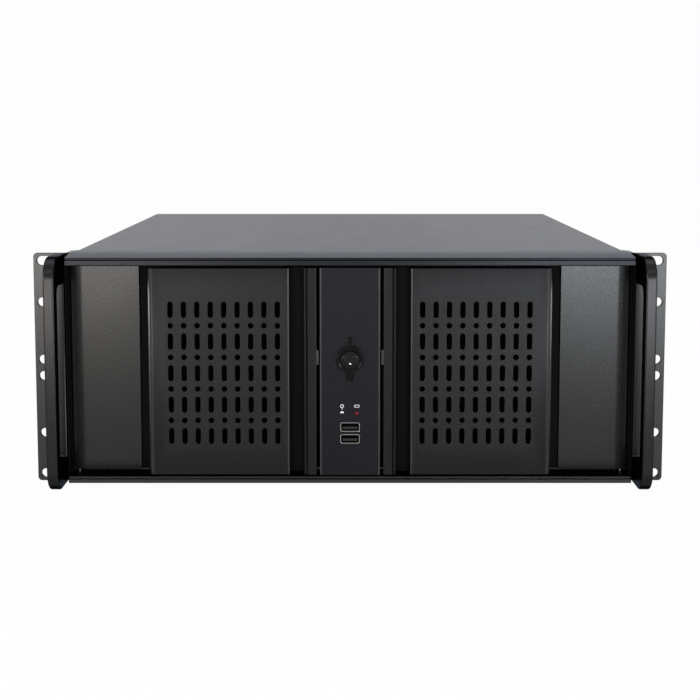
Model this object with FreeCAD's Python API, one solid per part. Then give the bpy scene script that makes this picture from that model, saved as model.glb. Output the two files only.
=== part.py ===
import FreeCAD, Part
import math
import os

# Empty 4U rackmount server case with two swing doors. Millimetres. X runs across the
# rack, Y runs back into the case from the front face of the rack ears, and Z is up from
# the base. Right is +X. What is alike on both sides is made on the right and mirrored.

V = FreeCAD.Vector
os.makedirs("parts", exist_ok=True)

# --- rack standard -------------------------------------------------------------------
UNIT_HEIGHT = 44.45
UNIT_COUNT = 4
RACK_WIDTH = 482.6
RACK_HOLE_EDGE = 8.75           # slot rows in from the ears' outer edges
UNIT_HOLE_FIRST = 6.35          # first and last hole of a rack unit, from its lower line
UNIT_HOLE_LAST = 38.1
FACE_CLEARANCE = 0.4            # the ears stop this far inside the rack space

# --- body sheet metal ----------------------------------------------------------------
BODY_DEPTH = 450.0              # ear face to rear face
COVER_DROP = 1.8                # cover top below the rack space's upper line
SHEET = 1.2
PANEL_FLANGE = 18.0             # flanges folded in for the cover to lie on
COVER_FLANGE = 14.0             # cover's side flanges, downward

# --- ears and handles ----------------------------------------------------------------
EAR_REACH = 26.3                # ear beyond the cover's side
EAR_THICK = 3.0
EAR_CORNER_R = 3.0
EAR_FLANGE_DEPTH = 45.0
EAR_FLANGE_DROP = 2.8           # behind the front frame the flange stays under the cover's
EAR_SLOT_LENGTH = 12.0
EAR_SLOT_HEIGHT = 7.0
HANDLE_OUT = 2.2                # inner face of the handle beyond the cover's side
HANDLE_THICK = 8.1
HANDLE_REACH = 39.5             # handle front ahead of the ear face
HANDLE_BAR = 11.4
HANDLE_ARM_LOW = 19.4
HANDLE_ARM_HIGH = 22.4
HANDLE_SPINE = 4.0
HANDLE_CORNER_R = 16.0
HANDLE_INNER_R = 7.0
HANDLE_END_GAP = 0.2            # handle ends inside the ear's ends

# --- front frame rails ---------------------------------------------------------------
FRAME_FRONT = 20.0              # rail front ahead of the ear face
FRAME_TOP_DROP = 0.2
RAIL_END_GAP = 0.4
RAIL_FACE_TOP = 2.2             # top of the front face below the rack space's line
RAIL_FACE_BOTTOM = 8.0
RAIL_SLOPE_DEPTH = 19.0
RAIL_WALL = 2.0
RAIL_TONGUE = 15.0              # top rail's tongue back over the front panel
RAIL_GROOVE = 0.8
RAIL_GROOVE_DROP = 0.5
PANEL_Y = 5.0                   # front face of the steel front panel
COVER_SEAM = 1.0

# --- centre column -------------------------------------------------------------------
CENTRE_HALF = 22.7
CENTRE_FACE = 19.0
CENTRE_SKIN = 3.0
CENTRE_END_GAP = 1.8
COLUMN_INSET = 1.7              # column's sides inside the centre plate's edges
COLUMN_SKIN = 1.5
COLUMN_LIP = 8.0

# --- doors ---------------------------------------------------------------------------
DOOR_GAP = 2.0                  # door to rail, above and below
DOOR_SIDE_GAP = 1.3             # door inside the body's side
DOOR_CENTRE_GAP = 2.6           # door to centre plate
DOOR_FACE = 19.0                # raised face ahead of the ear face
GRIP_WIDTH = 9.2                # grip strip along the closing edge
RECESS_WIDTH = 11.3             # finger recess between strip and vent panel
RECESS_DEPTH = 10.0
GRIP_SKIN = 2.0
GRIP_WEB = 1.5
GRIP_RIDGE = 1.0                # ridge line along the strip's outer edge
VENT_SKIN = 1.5
VENT_CORNER_R = 4.0
CHANNEL = 8.2                   # dark channel between vent panel and side plate
SIDE_WIDTH = 52.0
SIDE_SETBACK = 17.0             # side plate behind the raised face
SIDE_SKIN = 2.5
CARRIER_SKIN = 2.0
HINGE_INSET = 3.5               # pin axis in from the door's outer edge
HINGE_PIN_R = 1.5
HINGE_RUNNING = 0.05
HINGE_PIN_GRIP = 12.0
HINGE_POST = 8.5                # thick outer edge of the side plate that holds the pins
STRIKE_HEIGHT = 11.2
STRIKE_PROUD = 1.7
STRIKE_RISE = 1.5               # strike's middle above the lock's

# --- vents in the doors --------------------------------------------------------------
VENT_COLUMNS = 9
VENT_ROWS = 5
VENT_INNER_EDGE = 6.85          # bare edges of the vent panel round the vent field
VENT_OUTER_EDGE = 15.55
VENT_LOWER_EDGE = 23.8
VENT_UPPER_EDGE = 25.2
VENT_WIDTH = 3.7
VENT_LENGTH = 12.4
VENT_HOLE = 4.2                 # height of the small holes
WINDOW_MARGIN = 8.0             # carrier window above and below the vent field
WINDOW_EDGE = 2.0               # and towards the hinge
FILTER_FIT = 0.4
FILTER_MARGIN = 4.0             # filter beyond the carrier window
FILTER_THICK = 4.0

# --- lock ----------------------------------------------------------------------------
LOCK_RISE = 9.9                 # lock above the middle of the rack space
LOCK_KNOB_R = 10.3
LOCK_KNOB_THICK = 2.5
LOCK_KNOB_CONE = 1.2            # ring's front edge inside its back edge
LOCK_LUG_SPAN = 33.5
LOCK_LUG_WIDTH = 5.0
LOCK_LUG_THICK = 1.5
LOCK_LUG_FLARE = 6.4            # half width of a lug where it leaves the ring
LOCK_LUG_NECK = 1.0             # where the flare ends, beyond the ring
LOCK_FACE_R = 6.4
LOCK_FACE_PROUD = 0.6
LOCK_SHANK_R = 5.0
LOCK_TUBE_R = 7.0
LOCK_RUNNING = 0.05
LOCK_FACE_GAP = 0.3
LOCK_NUT_R = 9.5
LOCK_NUT_THICK = 2.0
LOCK_CAM_HOLD = 4.2             # cam's end past the closing edge of a door
LOCK_CAM_WIDTH = 10.0
LOCK_CAM_THICK = 2.0
LOCK_CAM_GAP = 0.4
LOCK_CAM_CORNER_R = 3.0
LOCK_CAM_ROOM = 1.0             # room round the swinging cam in the column's sides
KEY_SLOT_LENGTH = 7.0
KEY_SLOT_WIDTH = 1.4
KEY_SLOT_DEPTH = 2.0

# --- ports and lights ----------------------------------------------------------------
USB_LOWER_Z = 37.9
USB_PITCH = 9.1
USB_FLANGE_W = 14.7
USB_FLANGE_H = 7.1
USB_FLANGE_T = 0.6
USB_BODY_W = 13.1
USB_BODY_H = 5.7
USB_MOUTH_W = 12.5
USB_MOUTH_H = 5.1
USB_DEPTH = 9.0
USB_FIT = 0.15
TONGUE_W = 11.1
TONGUE_H = 1.9
TONGUE_DROP = 0.8
TONGUE_SETBACK = 0.5            # tongue's end behind the centre plate's face
LIGHT_XS = (-6.0, 5.1)
LIGHT_RISE = 10.6               # lights above the upper port
LIGHT_R = 1.5
LIGHT_PROUD = 0.3
LIGHT_FIT = 0.05
BOARD_HALF = 14.0
BOARD_THICK = 1.6
BOARD_MARGIN = 6.0
SPACER_WIDTH = 4.0

# --- drive bays ----------------------------------------------------------------------
BAY_COUNT = 3
BAY_PITCH = 42.3
BAY_WIDTH = 149.0
BAY_BOTTOM = 24.0
CAGE_SHIFT = 8.8                # cage's middle inside the middle of its half of the case
CAGE_DEPTH = 184.0
CAGE_SKIN = 1.2
CAGE_FOOT = 6.0
BAY_COVER_FIT = 0.4
BAY_COVER_CLIP = 22.0           # depth of the side clips
CAGE_SLOT_INSET = 40.0
CAGE_SLOT_HEIGHT = 4.0
BAY_VENTS = 3
BAY_VENT_W = 110.0
BAY_VENT_H = 3.6
BAY_VENT_PITCH = 10.0

# --- buttons behind the right door ---------------------------------------------------
POWER_Z = 98.0
RESET_DROP = 20.0               # reset button below the power button
POWER_R = 6.0
RESET_R = 3.0
BUTTON_FIT = 0.1
BUTTON_PROUD = 1.4
BUTTON_TRAVEL = 1.0
BUTTON_LENGTH = 8.0
SWITCH_WALL = 2.4

# --- rear panel ----------------------------------------------------------------------
PSU_WIDTH = 86.0
PSU_BOTTOM = 12.0
PSU_TOP_RIB = 12.8              # rear panel left above the power supply opening
PSU_SIDE_RIB = 8.6              # and between that opening and the side wall
IO_WIDTH = 158.75
IO_HEIGHT = 44.45
IO_BOTTOM = 14.0
IO_RIB = 5.025                  # power supply opening to connector window
SLOT_PITCH = 20.32
SLOT_START = 20.225             # connector window to the middle of the first slot
SLOT_OPEN_W = 13.0
SLOT_OPEN_H = 104.0
SLOT_BOTTOM = 18.0
SLOT_SIDE_RIB = 4.0             # least width of rear panel left beside the last cover
SLOT_COVER_W = 18.4
SLOT_COVER_EDGE = 6.0
SLOT_COVER_TAB = 12.0           # upper end that the panel's screw holds
SLOT_COVER_SKIN = 0.9
FAN_SIZE = 80.0
FAN_DEPTH = 25.0
FAN_GAP = 3.0                   # fan to fan, and fan to power supply opening
FAN_TOP_RIB = 18.8              # fans below the underside of the cover
FAN_BORE_R = 38.0
FAN_HUB_R = 16.0
FAN_BLADES = 7
FAN_BLADE_THICK = 1.2
FAN_BLADE_EDGE = 1.0            # blades inside the hub's two ends
FAN_TIP_GAP = 1.2
FAN_SHAFT_R = 1.5
FAN_SHAFT_END = 0.8             # end of the shaft inside the rear of the frame
FAN_SHAFT_ROOM = 0.2            # and the room behind it in the bearing
FAN_RUNNING = 0.05
FAN_PLATE = 3.0
FAN_END_GAP = 1.0
FAN_STRUT_W = 5.0
GRILLE_SLOTS = 9
GRILLE_PITCH = 7.6
GRILLE_SLOT_W = 4.6
GRILLE_EDGE = 2.0

# --- inside --------------------------------------------------------------------------
BOARD_HOLE_X = (59.89, -97.59, -222.05)     # motherboard holes from the connector window's middle
BOARD_HOLE_Y = (12.46, 167.4, 239.79)       # and from the rear panel's inner face
STANDOFF_H = 6.5
STANDOFF_R = 2.9
STANDOFF_BORE_R = 1.25
STANDOFF_BORE_DEPTH = 5.0
BRACE_FROM_REAR = 150.0
BRACE_WIDTH = 24.0
BRACE_LIP = 10.0

OVERCUT = 1.0                   # cutting bodies run this far past the faces they cut

# --- worked out from the sizes above -------------------------------------------------
SPACE = UNIT_COUNT * UNIT_HEIGHT
BODY_WIDTH = RACK_WIDTH - 2 * EAR_REACH    # over the cover's side flanges
EAR_BOTTOM = FACE_CLEARANCE
EAR_TOP = SPACE - FACE_CLEARANCE
COVER_TOP = SPACE - COVER_DROP
COVER_UNDER = COVER_TOP - SHEET
COVER_LOW = COVER_UNDER - COVER_FLANGE
COVER_FRONT = PANEL_Y + RAIL_TONGUE + COVER_SEAM
WALL_X = BODY_WIDTH / 2 - SHEET            # outer face of the base pan's side walls
PAN_X = WALL_X - SHEET                     # inner face of those walls
REAR_Y = BODY_DEPTH - SHEET                # inner face of the rear panel
PANEL_BACK = PANEL_Y + SHEET
RAIL_X = WALL_X - RAIL_END_GAP
RAIL_UNDER = SPACE - RAIL_FACE_BOTTOM
HANDLE_X = BODY_WIDTH / 2 + HANDLE_OUT

DOOR_LOW = RAIL_FACE_BOTTOM + DOOR_GAP
DOOR_HIGH = RAIL_UNDER - DOOR_GAP
DOOR_INNER = CENTRE_HALF + DOOR_CENTRE_GAP
DOOR_OUTER = WALL_X - DOOR_SIDE_GAP
GRIP_OUTER = DOOR_INNER + GRIP_WIDTH
RECESS_OUTER = GRIP_OUTER + RECESS_WIDTH
VENT_OUTER = DOOR_OUTER - SIDE_WIDTH - CHANNEL
SIDE_FRONT = SIDE_SETBACK - DOOR_FACE
SIDE_BACK = SIDE_FRONT + SIDE_SKIN
CARRIER_BACK = SIDE_BACK + CARRIER_SKIN
GRIP_BACK = -DOOR_FACE + RECESS_DEPTH
GRIP_REAR = GRIP_BACK + GRIP_SKIN
CARRIER_STEP = RECESS_OUTER + VENT_SKIN + CARRIER_SKIN
POST_X = DOOR_OUTER - HINGE_POST
HINGE_X = DOOR_OUTER - HINGE_INSET
HINGE_Y = (SIDE_FRONT + CARRIER_BACK) / 2  # middle of the post's thickness

VENT_X0 = RECESS_OUTER + VENT_INNER_EDGE   # the vent field's four sides
VENT_X1 = VENT_OUTER - VENT_OUTER_EDGE
VENT_Z0 = DOOR_LOW + VENT_LOWER_EDGE
VENT_Z1 = DOOR_HIGH - VENT_UPPER_EDGE
VENT_PITCH_X = (VENT_X1 - VENT_X0 - VENT_WIDTH) / (VENT_COLUMNS - 1)
VENT_PITCH_Z = (VENT_Z1 - VENT_Z0 - VENT_LENGTH) / (VENT_ROWS - 1)

COLUMN_HALF = CENTRE_HALF - COLUMN_INSET
COLUMN_FRONT = -CENTRE_FACE + CENTRE_SKIN
COLUMN_WEB_BACK = COLUMN_FRONT + COLUMN_SKIN
LOCK_Z = SPACE / 2 + LOCK_RISE
LOCK_CAM_REACH = DOOR_INNER + LOCK_CAM_HOLD
NUT_BACK = COLUMN_WEB_BACK + LOCK_NUT_THICK
CAM_FRONT = NUT_BACK + LOCK_CAM_GAP
KNOB_BACK = -CENTRE_FACE - LOCK_FACE_GAP
STRIKE_Z = LOCK_Z + STRIKE_RISE
USB_HEIGHTS = (USB_LOWER_Z, USB_LOWER_Z + USB_PITCH)
LIGHT_Z = USB_LOWER_Z + USB_PITCH + LIGHT_RISE
BOARD_FRONT = -CENTRE_FACE + USB_DEPTH

BAY_TOP = BAY_BOTTOM + BAY_COUNT * BAY_PITCH
CAGE_X = PAN_X / 2 - CAGE_SHIFT
CAGE_SIDE = CAGE_X + BAY_WIDTH / 2 + CAGE_SKIN
BUTTON_X = (CAGE_SIDE + PAN_X) / 2         # midway between the cage and the side wall
RESET_Z = POWER_Z - RESET_DROP

PSU_X1 = PAN_X - PSU_SIDE_RIB
PSU_X0 = PSU_X1 - PSU_WIDTH
PSU_TOP = COVER_UNDER - PSU_TOP_RIB
IO_X1 = PSU_X0 - IO_RIB
IO_X0 = IO_X1 - IO_WIDTH
SLOT_FIRST_X = IO_X0 - SLOT_START
SLOT_LAST_X = SLOT_COVER_W / 2 + SLOT_SIDE_RIB - PAN_X
SLOT_COUNT = int((SLOT_FIRST_X - SLOT_LAST_X) / SLOT_PITCH) + 1
FAN_XS = tuple(PSU_X0 - (FAN_GAP + FAN_SIZE) * step + FAN_SIZE / 2 for step in (2, 1))
FAN_Z = COVER_UNDER - FAN_TOP_RIB - FAN_SIZE / 2
BRACE_Y = BODY_DEPTH - BRACE_FROM_REAR


def box(x0, x1, y0, y1, z0, z1):
    """A block between two corners."""
    return Part.makeBox(x1 - x0, y1 - y0, z1 - z0, V(x0, y0, z0))


def rod(radius, x, y, z, axis, length):
    """A round bar from a point along an axis."""
    return Part.makeCylinder(radius, length, V(x, y, z), axis)


def rod_y(radius, x, y0, y1, z):
    """A round bar along Y between two depths."""
    return rod(radius, x, y0, z, V(0, 1, 0), y1 - y0)


def rod_z(radius, x, y, z0, z1):
    """A round bar along Z between two heights."""
    return rod(radius, x, y, z0, V(0, 0, 1), z1 - z0)


def extrude(points, direction):
    """A closed outline swept straight along a direction."""
    wire = Part.makePolygon(points + [points[0]])
    return Part.Face(wire).extrude(direction)


def along_x(outline, x0, x1):
    """A (y, z) outline extruded between two x."""
    return extrude([V(x0, y, z) for y, z in outline], V(x1 - x0, 0, 0))


def along_z(outline, z0, z1):
    """An (x, y) outline extruded between two z."""
    return extrude([V(x, y, z0) for x, y in outline], V(0, 0, z1 - z0))


def slot_x(x, z, length, height, y0, y1):
    """A round-ended slot lying along X, cut through in Y."""
    half = (length - height) / 2
    bar = box(x - half, x + half, y0, y1, z - height / 2, z + height / 2)
    ends = [rod_y(height / 2, x + side * half, y0, y1, z) for side in (-1, 1)]
    return bar.multiFuse(ends)


def through_y(x, z, width, height, y0, y1):
    """An upright block for a hole cut through along Y, past both faces."""
    return box(x - width / 2, x + width / 2, y0 - OVERCUT, y1 + OVERCUT, z - height / 2, z + height / 2)


def bore_y(radius, x, y0, y1, z):
    """A round bar for a hole cut through along Y, past both faces."""
    return rod_y(radius, x, y0 - OVERCUT, y1 + OVERCUT, z)


def hexagon(radius, x, y):
    """Corners of a hexagon about a point, in its own plane."""
    corners = [math.radians(60 * i) for i in range(6)]
    return [(x + radius * math.cos(turn), y + radius * math.sin(turn)) for turn in corners]


def near(a, b):
    """Whether two lengths are the same place."""
    return abs(a - b) < 1e-4


def rounded(shape, radius, direction, wanted):
    """Fillets the straight edges along a direction that a test on one end picks."""
    edges = []
    for edge in shape.Edges:
        start, end = edge.Vertexes[0].Point, edge.Vertexes[-1].Point
        if (end - start).Length > 1e-4 and (end - start).cross(direction).Length < 1e-4 and wanted(start):
            edges.append(edge)
    return shape.makeFillet(radius, edges)


def mirrored(shape):
    """The left-hand copy of a right-hand piece."""
    return shape.mirror(V(0, 0, 0), V(1, 0, 0))


def save(name, *solids):
    """Writes one node, as one solid or as a group of like solids."""
    shape = solids[0] if len(solids) == 1 else Part.makeCompound(list(solids))
    shape.exportStep("parts/" + name + ".step")


def save_pair(name, shape):
    """Writes a right-hand piece and its left-hand copy."""
    save("right_" + name, shape)
    save("left_" + name, mirrored(shape))


# --- fixed sheet metal ---------------------------------------------------------------
def slot_centre(i):
    """Middle of an expansion slot, counted from the connector window."""
    return SLOT_FIRST_X - i * SLOT_PITCH


def base_pan():
    """Floor and two side walls, folded from one sheet."""
    outline = [
        (-WALL_X, 0), (WALL_X, 0), (WALL_X, COVER_UNDER), (PAN_X, COVER_UNDER),
        (PAN_X, SHEET), (-PAN_X, SHEET), (-PAN_X, COVER_UNDER), (-WALL_X, COVER_UNDER),
    ]
    points = [V(x, PANEL_Y, z) for x, z in outline]
    return extrude(points, V(0, REAR_Y - PANEL_Y, 0))


def top_cover():
    """Flat lid with two side flanges over the pan's walls."""
    side = BODY_WIDTH / 2
    outline = [
        (-side, COVER_LOW), (-WALL_X, COVER_LOW), (-WALL_X, COVER_UNDER), (WALL_X, COVER_UNDER),
        (WALL_X, COVER_LOW), (side, COVER_LOW), (side, COVER_TOP), (-side, COVER_TOP),
    ]
    points = [V(x, COVER_FRONT, z) for x, z in outline]
    lid = extrude(points, V(0, BODY_DEPTH - COVER_FRONT, 0))
    return rounded(lid, SHEET, V(0, 1, 0), lambda p: near(abs(p.x), side) and near(p.z, COVER_TOP))


def front_panel():
    """Steel front wall behind the doors, with its bay openings and a top flange."""
    outline = [
        (PANEL_Y, SHEET), (PANEL_BACK, SHEET), (PANEL_BACK, COVER_UNDER - SHEET),
        (PANEL_BACK + PANEL_FLANGE + RAIL_TONGUE - SHEET, COVER_UNDER - SHEET),
        (PANEL_BACK + PANEL_FLANGE + RAIL_TONGUE - SHEET, COVER_UNDER),
        (PANEL_Y, COVER_UNDER),
    ]
    panel = along_x(outline, -PAN_X, PAN_X)
    cuts = []
    for side in (-1, 1):
        cuts.append(through_y(side * CAGE_X, (BAY_BOTTOM + BAY_TOP) / 2, BAY_WIDTH,
                              BAY_TOP - BAY_BOTTOM, PANEL_Y, PANEL_BACK))
    for radius, z in ((POWER_R, POWER_Z), (RESET_R, RESET_Z)):
        cuts.append(bore_y(radius + BUTTON_FIT, BUTTON_X, PANEL_Y, PANEL_BACK, z))
    return panel.cut(Part.makeCompound(cuts))


def grille_cuts(x):
    """Upright slots of one stamped fan grille, as long as the fan's circle allows."""
    reach = FAN_BORE_R - GRILLE_EDGE
    cuts = []
    for i in range(GRILLE_SLOTS):
        offset = (i - (GRILLE_SLOTS - 1) / 2) * GRILLE_PITCH
        half = math.sqrt(max(reach ** 2 - (abs(offset) + GRILLE_SLOT_W / 2) ** 2, GRILLE_SLOT_W ** 2))
        cuts.append(through_y(x + offset, FAN_Z, GRILLE_SLOT_W, 2 * half, REAR_Y, BODY_DEPTH))
    return cuts


def rear_panel():
    """Rear wall with power supply, connector, slot and fan openings and a top flange."""
    outline = [
        (BODY_DEPTH, 0), (BODY_DEPTH, COVER_UNDER), (REAR_Y - PANEL_FLANGE, COVER_UNDER),
        (REAR_Y - PANEL_FLANGE, COVER_UNDER - SHEET), (REAR_Y, COVER_UNDER - SHEET), (REAR_Y, 0),
    ]
    panel = along_x(outline, -PAN_X, PAN_X)
    sheet = box(-WALL_X, WALL_X, REAR_Y, BODY_DEPTH, 0, COVER_UNDER)
    panel = panel.fuse(sheet).removeSplitter()
    y0, y1 = REAR_Y - OVERCUT, BODY_DEPTH + OVERCUT
    cuts = [box(PSU_X0, PSU_X1, y0, y1, PSU_BOTTOM, PSU_TOP),
            box(IO_X0, IO_X1, y0, y1, IO_BOTTOM, IO_BOTTOM + IO_HEIGHT)]
    for i in range(SLOT_COUNT):
        cuts.append(through_y(slot_centre(i), SLOT_BOTTOM + SLOT_OPEN_H / 2, SLOT_OPEN_W, SLOT_OPEN_H,
                              REAR_Y, BODY_DEPTH))
    for x in FAN_XS:
        cuts += grille_cuts(x)
    return panel.cut(Part.makeCompound(cuts))


def slot_cover(i):
    """Blanking plate behind one expansion slot."""
    x = slot_centre(i)
    return box(x - SLOT_COVER_W / 2, x + SLOT_COVER_W / 2, REAR_Y - SLOT_COVER_SKIN, REAR_Y,
               SLOT_BOTTOM - SLOT_COVER_EDGE, SLOT_BOTTOM + SLOT_OPEN_H + SLOT_COVER_TAB)


# --- ears, handles, rails ------------------------------------------------------------
def ear_slot_heights():
    """Heights of the ear's slots: outer two at each end and one each side of the middle."""
    half = UNIT_COUNT // 2
    last = UNIT_COUNT - 1
    rows = [(0, UNIT_HOLE_FIRST), (0, UNIT_HOLE_LAST), (half - 1, UNIT_HOLE_LAST),
            (half, UNIT_HOLE_FIRST), (last, UNIT_HOLE_FIRST), (last, UNIT_HOLE_LAST)]
    return [unit * UNIT_HEIGHT + hole for unit, hole in rows]


def ear():
    """Right rack ear: a slotted front plate folded into a flange on the side wall."""
    plate = box(WALL_X, RACK_WIDTH / 2, 0, EAR_THICK, EAR_BOTTOM, EAR_TOP)
    plate = rounded(plate, EAR_CORNER_R, V(0, 1, 0), lambda p: near(p.x, RACK_WIDTH / 2))
    frame_back = PANEL_Y + RAIL_TONGUE
    flange = box(WALL_X, WALL_X + EAR_THICK, EAR_THICK, frame_back, EAR_BOTTOM, EAR_TOP)
    tail = box(WALL_X, WALL_X + EAR_THICK, frame_back, EAR_FLANGE_DEPTH,
               EAR_BOTTOM, COVER_LOW - EAR_FLANGE_DROP)
    body = plate.multiFuse([flange, tail]).removeSplitter()
    cuts = [slot_x(RACK_WIDTH / 2 - RACK_HOLE_EDGE, z, EAR_SLOT_LENGTH, EAR_SLOT_HEIGHT,
                   -OVERCUT, EAR_THICK + OVERCUT) for z in ear_slot_heights()]
    return body.cut(Part.makeCompound(cuts))


def handle():
    """Right handle: a closed loop cut from flat bar, with rounded outer corners."""
    x0, x1 = HANDLE_X, HANDLE_X + HANDLE_THICK
    low, high = EAR_BOTTOM + HANDLE_END_GAP, EAR_TOP - HANDLE_END_GAP
    outer = box(x0, x1, -HANDLE_REACH, 0, low, high)
    outer = rounded(outer, HANDLE_CORNER_R, V(1, 0, 0), lambda p: near(p.y, -HANDLE_REACH))
    bar_back = HANDLE_BAR - HANDLE_REACH
    inner = box(x0 - OVERCUT, x1 + OVERCUT, bar_back, -HANDLE_SPINE,
                low + HANDLE_ARM_LOW, high - HANDLE_ARM_HIGH)
    inner = rounded(inner, HANDLE_INNER_R, V(1, 0, 0), lambda p: near(p.y, bar_back))
    return outer.cut(inner)


def rail_outline(top):
    """(y, distance in from the rack space's line) of a rail, and of its hollow."""
    flat = FRAME_TOP_DROP if top else 0          # the bottom rail is level with the pan
    front = -FRAME_FRONT
    slope_y = front + RAIL_SLOPE_DEPTH
    groove_low = RAIL_FACE_TOP + RAIL_GROOVE_DROP + RAIL_GROOVE
    tongue = COVER_DROP + SHEET
    outer = [
        (front, RAIL_FACE_BOTTOM), (front, groove_low),
        (front + RAIL_GROOVE, groove_low), (front + RAIL_GROOVE, RAIL_FACE_TOP + RAIL_GROOVE_DROP),
        (front, RAIL_FACE_TOP + RAIL_GROOVE_DROP), (front, RAIL_FACE_TOP),
        (slope_y, flat),
    ]
    if top:
        outer += [(PANEL_Y + RAIL_TONGUE, flat), (PANEL_Y + RAIL_TONGUE, tongue), (PANEL_Y, tongue)]
    else:
        outer += [(PANEL_Y, flat)]
    outer += [(PANEL_Y, RAIL_FACE_BOTTOM)]
    back = PANEL_Y - RAIL_WALL
    hollow = [
        (front + RAIL_WALL, RAIL_FACE_BOTTOM - RAIL_WALL), (front + RAIL_WALL, RAIL_FACE_TOP + RAIL_WALL),
        (slope_y, flat + RAIL_WALL), (back, flat + RAIL_WALL),
        (back, RAIL_FACE_BOTTOM - RAIL_WALL),
    ]
    return outer, hollow


def rail(top):
    """Hollow extruded rail across the front, with the holes that the hinge pins turn in."""
    outer, hollow = rail_outline(top)

    def height(drop):
        return SPACE - drop if top else drop

    body = along_x([(y, height(d)) for y, d in outer], -RAIL_X, RAIL_X)
    void = along_x([(y, height(d)) for y, d in hollow], -RAIL_X - OVERCUT, RAIL_X + OVERCUT)
    low, high = sorted((height(RAIL_FACE_BOTTOM), height(RAIL_FACE_BOTTOM - RAIL_WALL)))
    bore = HINGE_PIN_R + HINGE_RUNNING
    holes = [rod_z(bore, side * HINGE_X, HINGE_Y, low - OVERCUT, high + OVERCUT) for side in (-1, 1)]
    return body.cut(Part.makeCompound([void] + holes))


# --- doors ---------------------------------------------------------------------------
def vent_cuts(y0, y1):
    """Rows of upright slots with rows of small holes midway between them."""
    cuts = []
    for column in range(VENT_COLUMNS):
        x = VENT_X0 + VENT_WIDTH / 2 + column * VENT_PITCH_X
        for row in range(VENT_ROWS):
            z = VENT_Z0 + VENT_LENGTH / 2 + row * VENT_PITCH_Z
            cuts.append(through_y(x, z, VENT_WIDTH, VENT_LENGTH, y0, y1))
            if row < VENT_ROWS - 1:
                cuts.append(through_y(x, z + VENT_PITCH_Z / 2, VENT_WIDTH, VENT_HOLE, y0, y1))
    return Part.makeCompound(cuts)


def vent_panel():
    """Raised front of a door: a folded pan with the perforated field in its face."""
    face = -DOOR_FACE
    outer = box(RECESS_OUTER, VENT_OUTER, face, SIDE_BACK, DOOR_LOW, DOOR_HIGH)
    upright = V(0, 0, 1)
    outer = rounded(outer, VENT_CORNER_R, upright, lambda p: near(p.x, VENT_OUTER) and near(p.y, face))
    x1 = VENT_OUTER - VENT_SKIN
    inside = face + VENT_SKIN
    hollow = box(RECESS_OUTER + VENT_SKIN, x1, inside, SIDE_BACK + OVERCUT,
                 DOOR_LOW + VENT_SKIN, DOOR_HIGH - VENT_SKIN)
    bend = VENT_CORNER_R - VENT_SKIN
    hollow = rounded(hollow, bend, upright, lambda p: near(p.x, x1) and near(p.y, inside))
    notch = box(RECESS_OUTER - OVERCUT, CARRIER_STEP, GRIP_BACK, SIDE_BACK + OVERCUT,
                DOOR_LOW - OVERCUT, DOOR_HIGH + OVERCUT)
    return outer.cut(Part.makeCompound([hollow, notch])).cut(vent_cuts(face, inside))


def door_grip():
    """Extruded closing edge of a door: strip, cam groove and finger recess floor."""
    face = -DOOR_FACE
    ridge = GRIP_OUTER - GRIP_WEB
    outline = [
        (DOOR_INNER, face), (ridge - GRIP_RIDGE, face), (ridge - GRIP_RIDGE, face + GRIP_RIDGE / 2),
        (ridge, face + GRIP_RIDGE / 2), (ridge, face), (GRIP_OUTER, face), (GRIP_OUTER, GRIP_BACK),
        (RECESS_OUTER + VENT_SKIN, GRIP_BACK), (RECESS_OUTER + VENT_SKIN, GRIP_REAR),
        (DOOR_INNER, GRIP_REAR), (DOOR_INNER, GRIP_BACK), (ridge, GRIP_BACK),
        (ridge, face + GRIP_SKIN), (DOOR_INNER, face + GRIP_SKIN),
    ]
    return along_z(outline, DOOR_LOW, DOOR_HIGH)


def door_carrier():
    """Inner door sheet that carries grip, filter, vent panel and side plate."""
    outline = [
        (DOOR_INNER, GRIP_REAR), (CARRIER_STEP, GRIP_REAR), (CARRIER_STEP, SIDE_BACK),
        (POST_X, SIDE_BACK), (POST_X, CARRIER_BACK), (CARRIER_STEP - CARRIER_SKIN, CARRIER_BACK),
        (CARRIER_STEP - CARRIER_SKIN, GRIP_REAR + CARRIER_SKIN), (DOOR_INNER, GRIP_REAR + CARRIER_SKIN),
    ]
    sheet = along_z(outline, DOOR_LOW, DOOR_HIGH)
    x0, x1, z0, z1 = window(0)
    return sheet.cut(box(x0, x1, SIDE_BACK - OVERCUT, CARRIER_BACK + OVERCUT, z0, z1))


def window(margin):
    """Sides of the carrier's window behind the vents, moved out by a margin."""
    x0 = CARRIER_STEP + FILTER_FIT + FILTER_MARGIN
    return (x0 - margin, VENT_X1 + WINDOW_EDGE + margin,
            VENT_Z0 - WINDOW_MARGIN - margin, VENT_Z1 + WINDOW_MARGIN + margin)


def door_filter():
    """Dust filter pad over the carrier's window, behind the vents."""
    x0, x1, z0, z1 = window(FILTER_MARGIN)
    return box(x0, x1, SIDE_BACK - FILTER_THICK, SIDE_BACK, z0, z1)


def side_plate():
    """Recessed outer plate of a door, thick along the hinge edge."""
    outline = [
        (VENT_OUTER + CHANNEL, SIDE_FRONT), (DOOR_OUTER, SIDE_FRONT), (DOOR_OUTER, CARRIER_BACK),
        (POST_X, CARRIER_BACK), (POST_X, SIDE_BACK), (VENT_OUTER + CHANNEL, SIDE_BACK),
    ]
    plate = along_z(outline, DOOR_LOW, DOOR_HIGH)
    return plate.cut(Part.makeCompound(hinge_pins()))


def hinge_pins():
    """Lower and upper pin pressed into the side plate, standing out into the rails."""
    reach = DOOR_GAP + RAIL_WALL
    return [rod_z(HINGE_PIN_R, HINGE_X, HINGE_Y, DOOR_LOW - reach, DOOR_LOW + HINGE_PIN_GRIP),
            rod_z(HINGE_PIN_R, HINGE_X, HINGE_Y, DOOR_HIGH - HINGE_PIN_GRIP, DOOR_HIGH + reach)]


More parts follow.
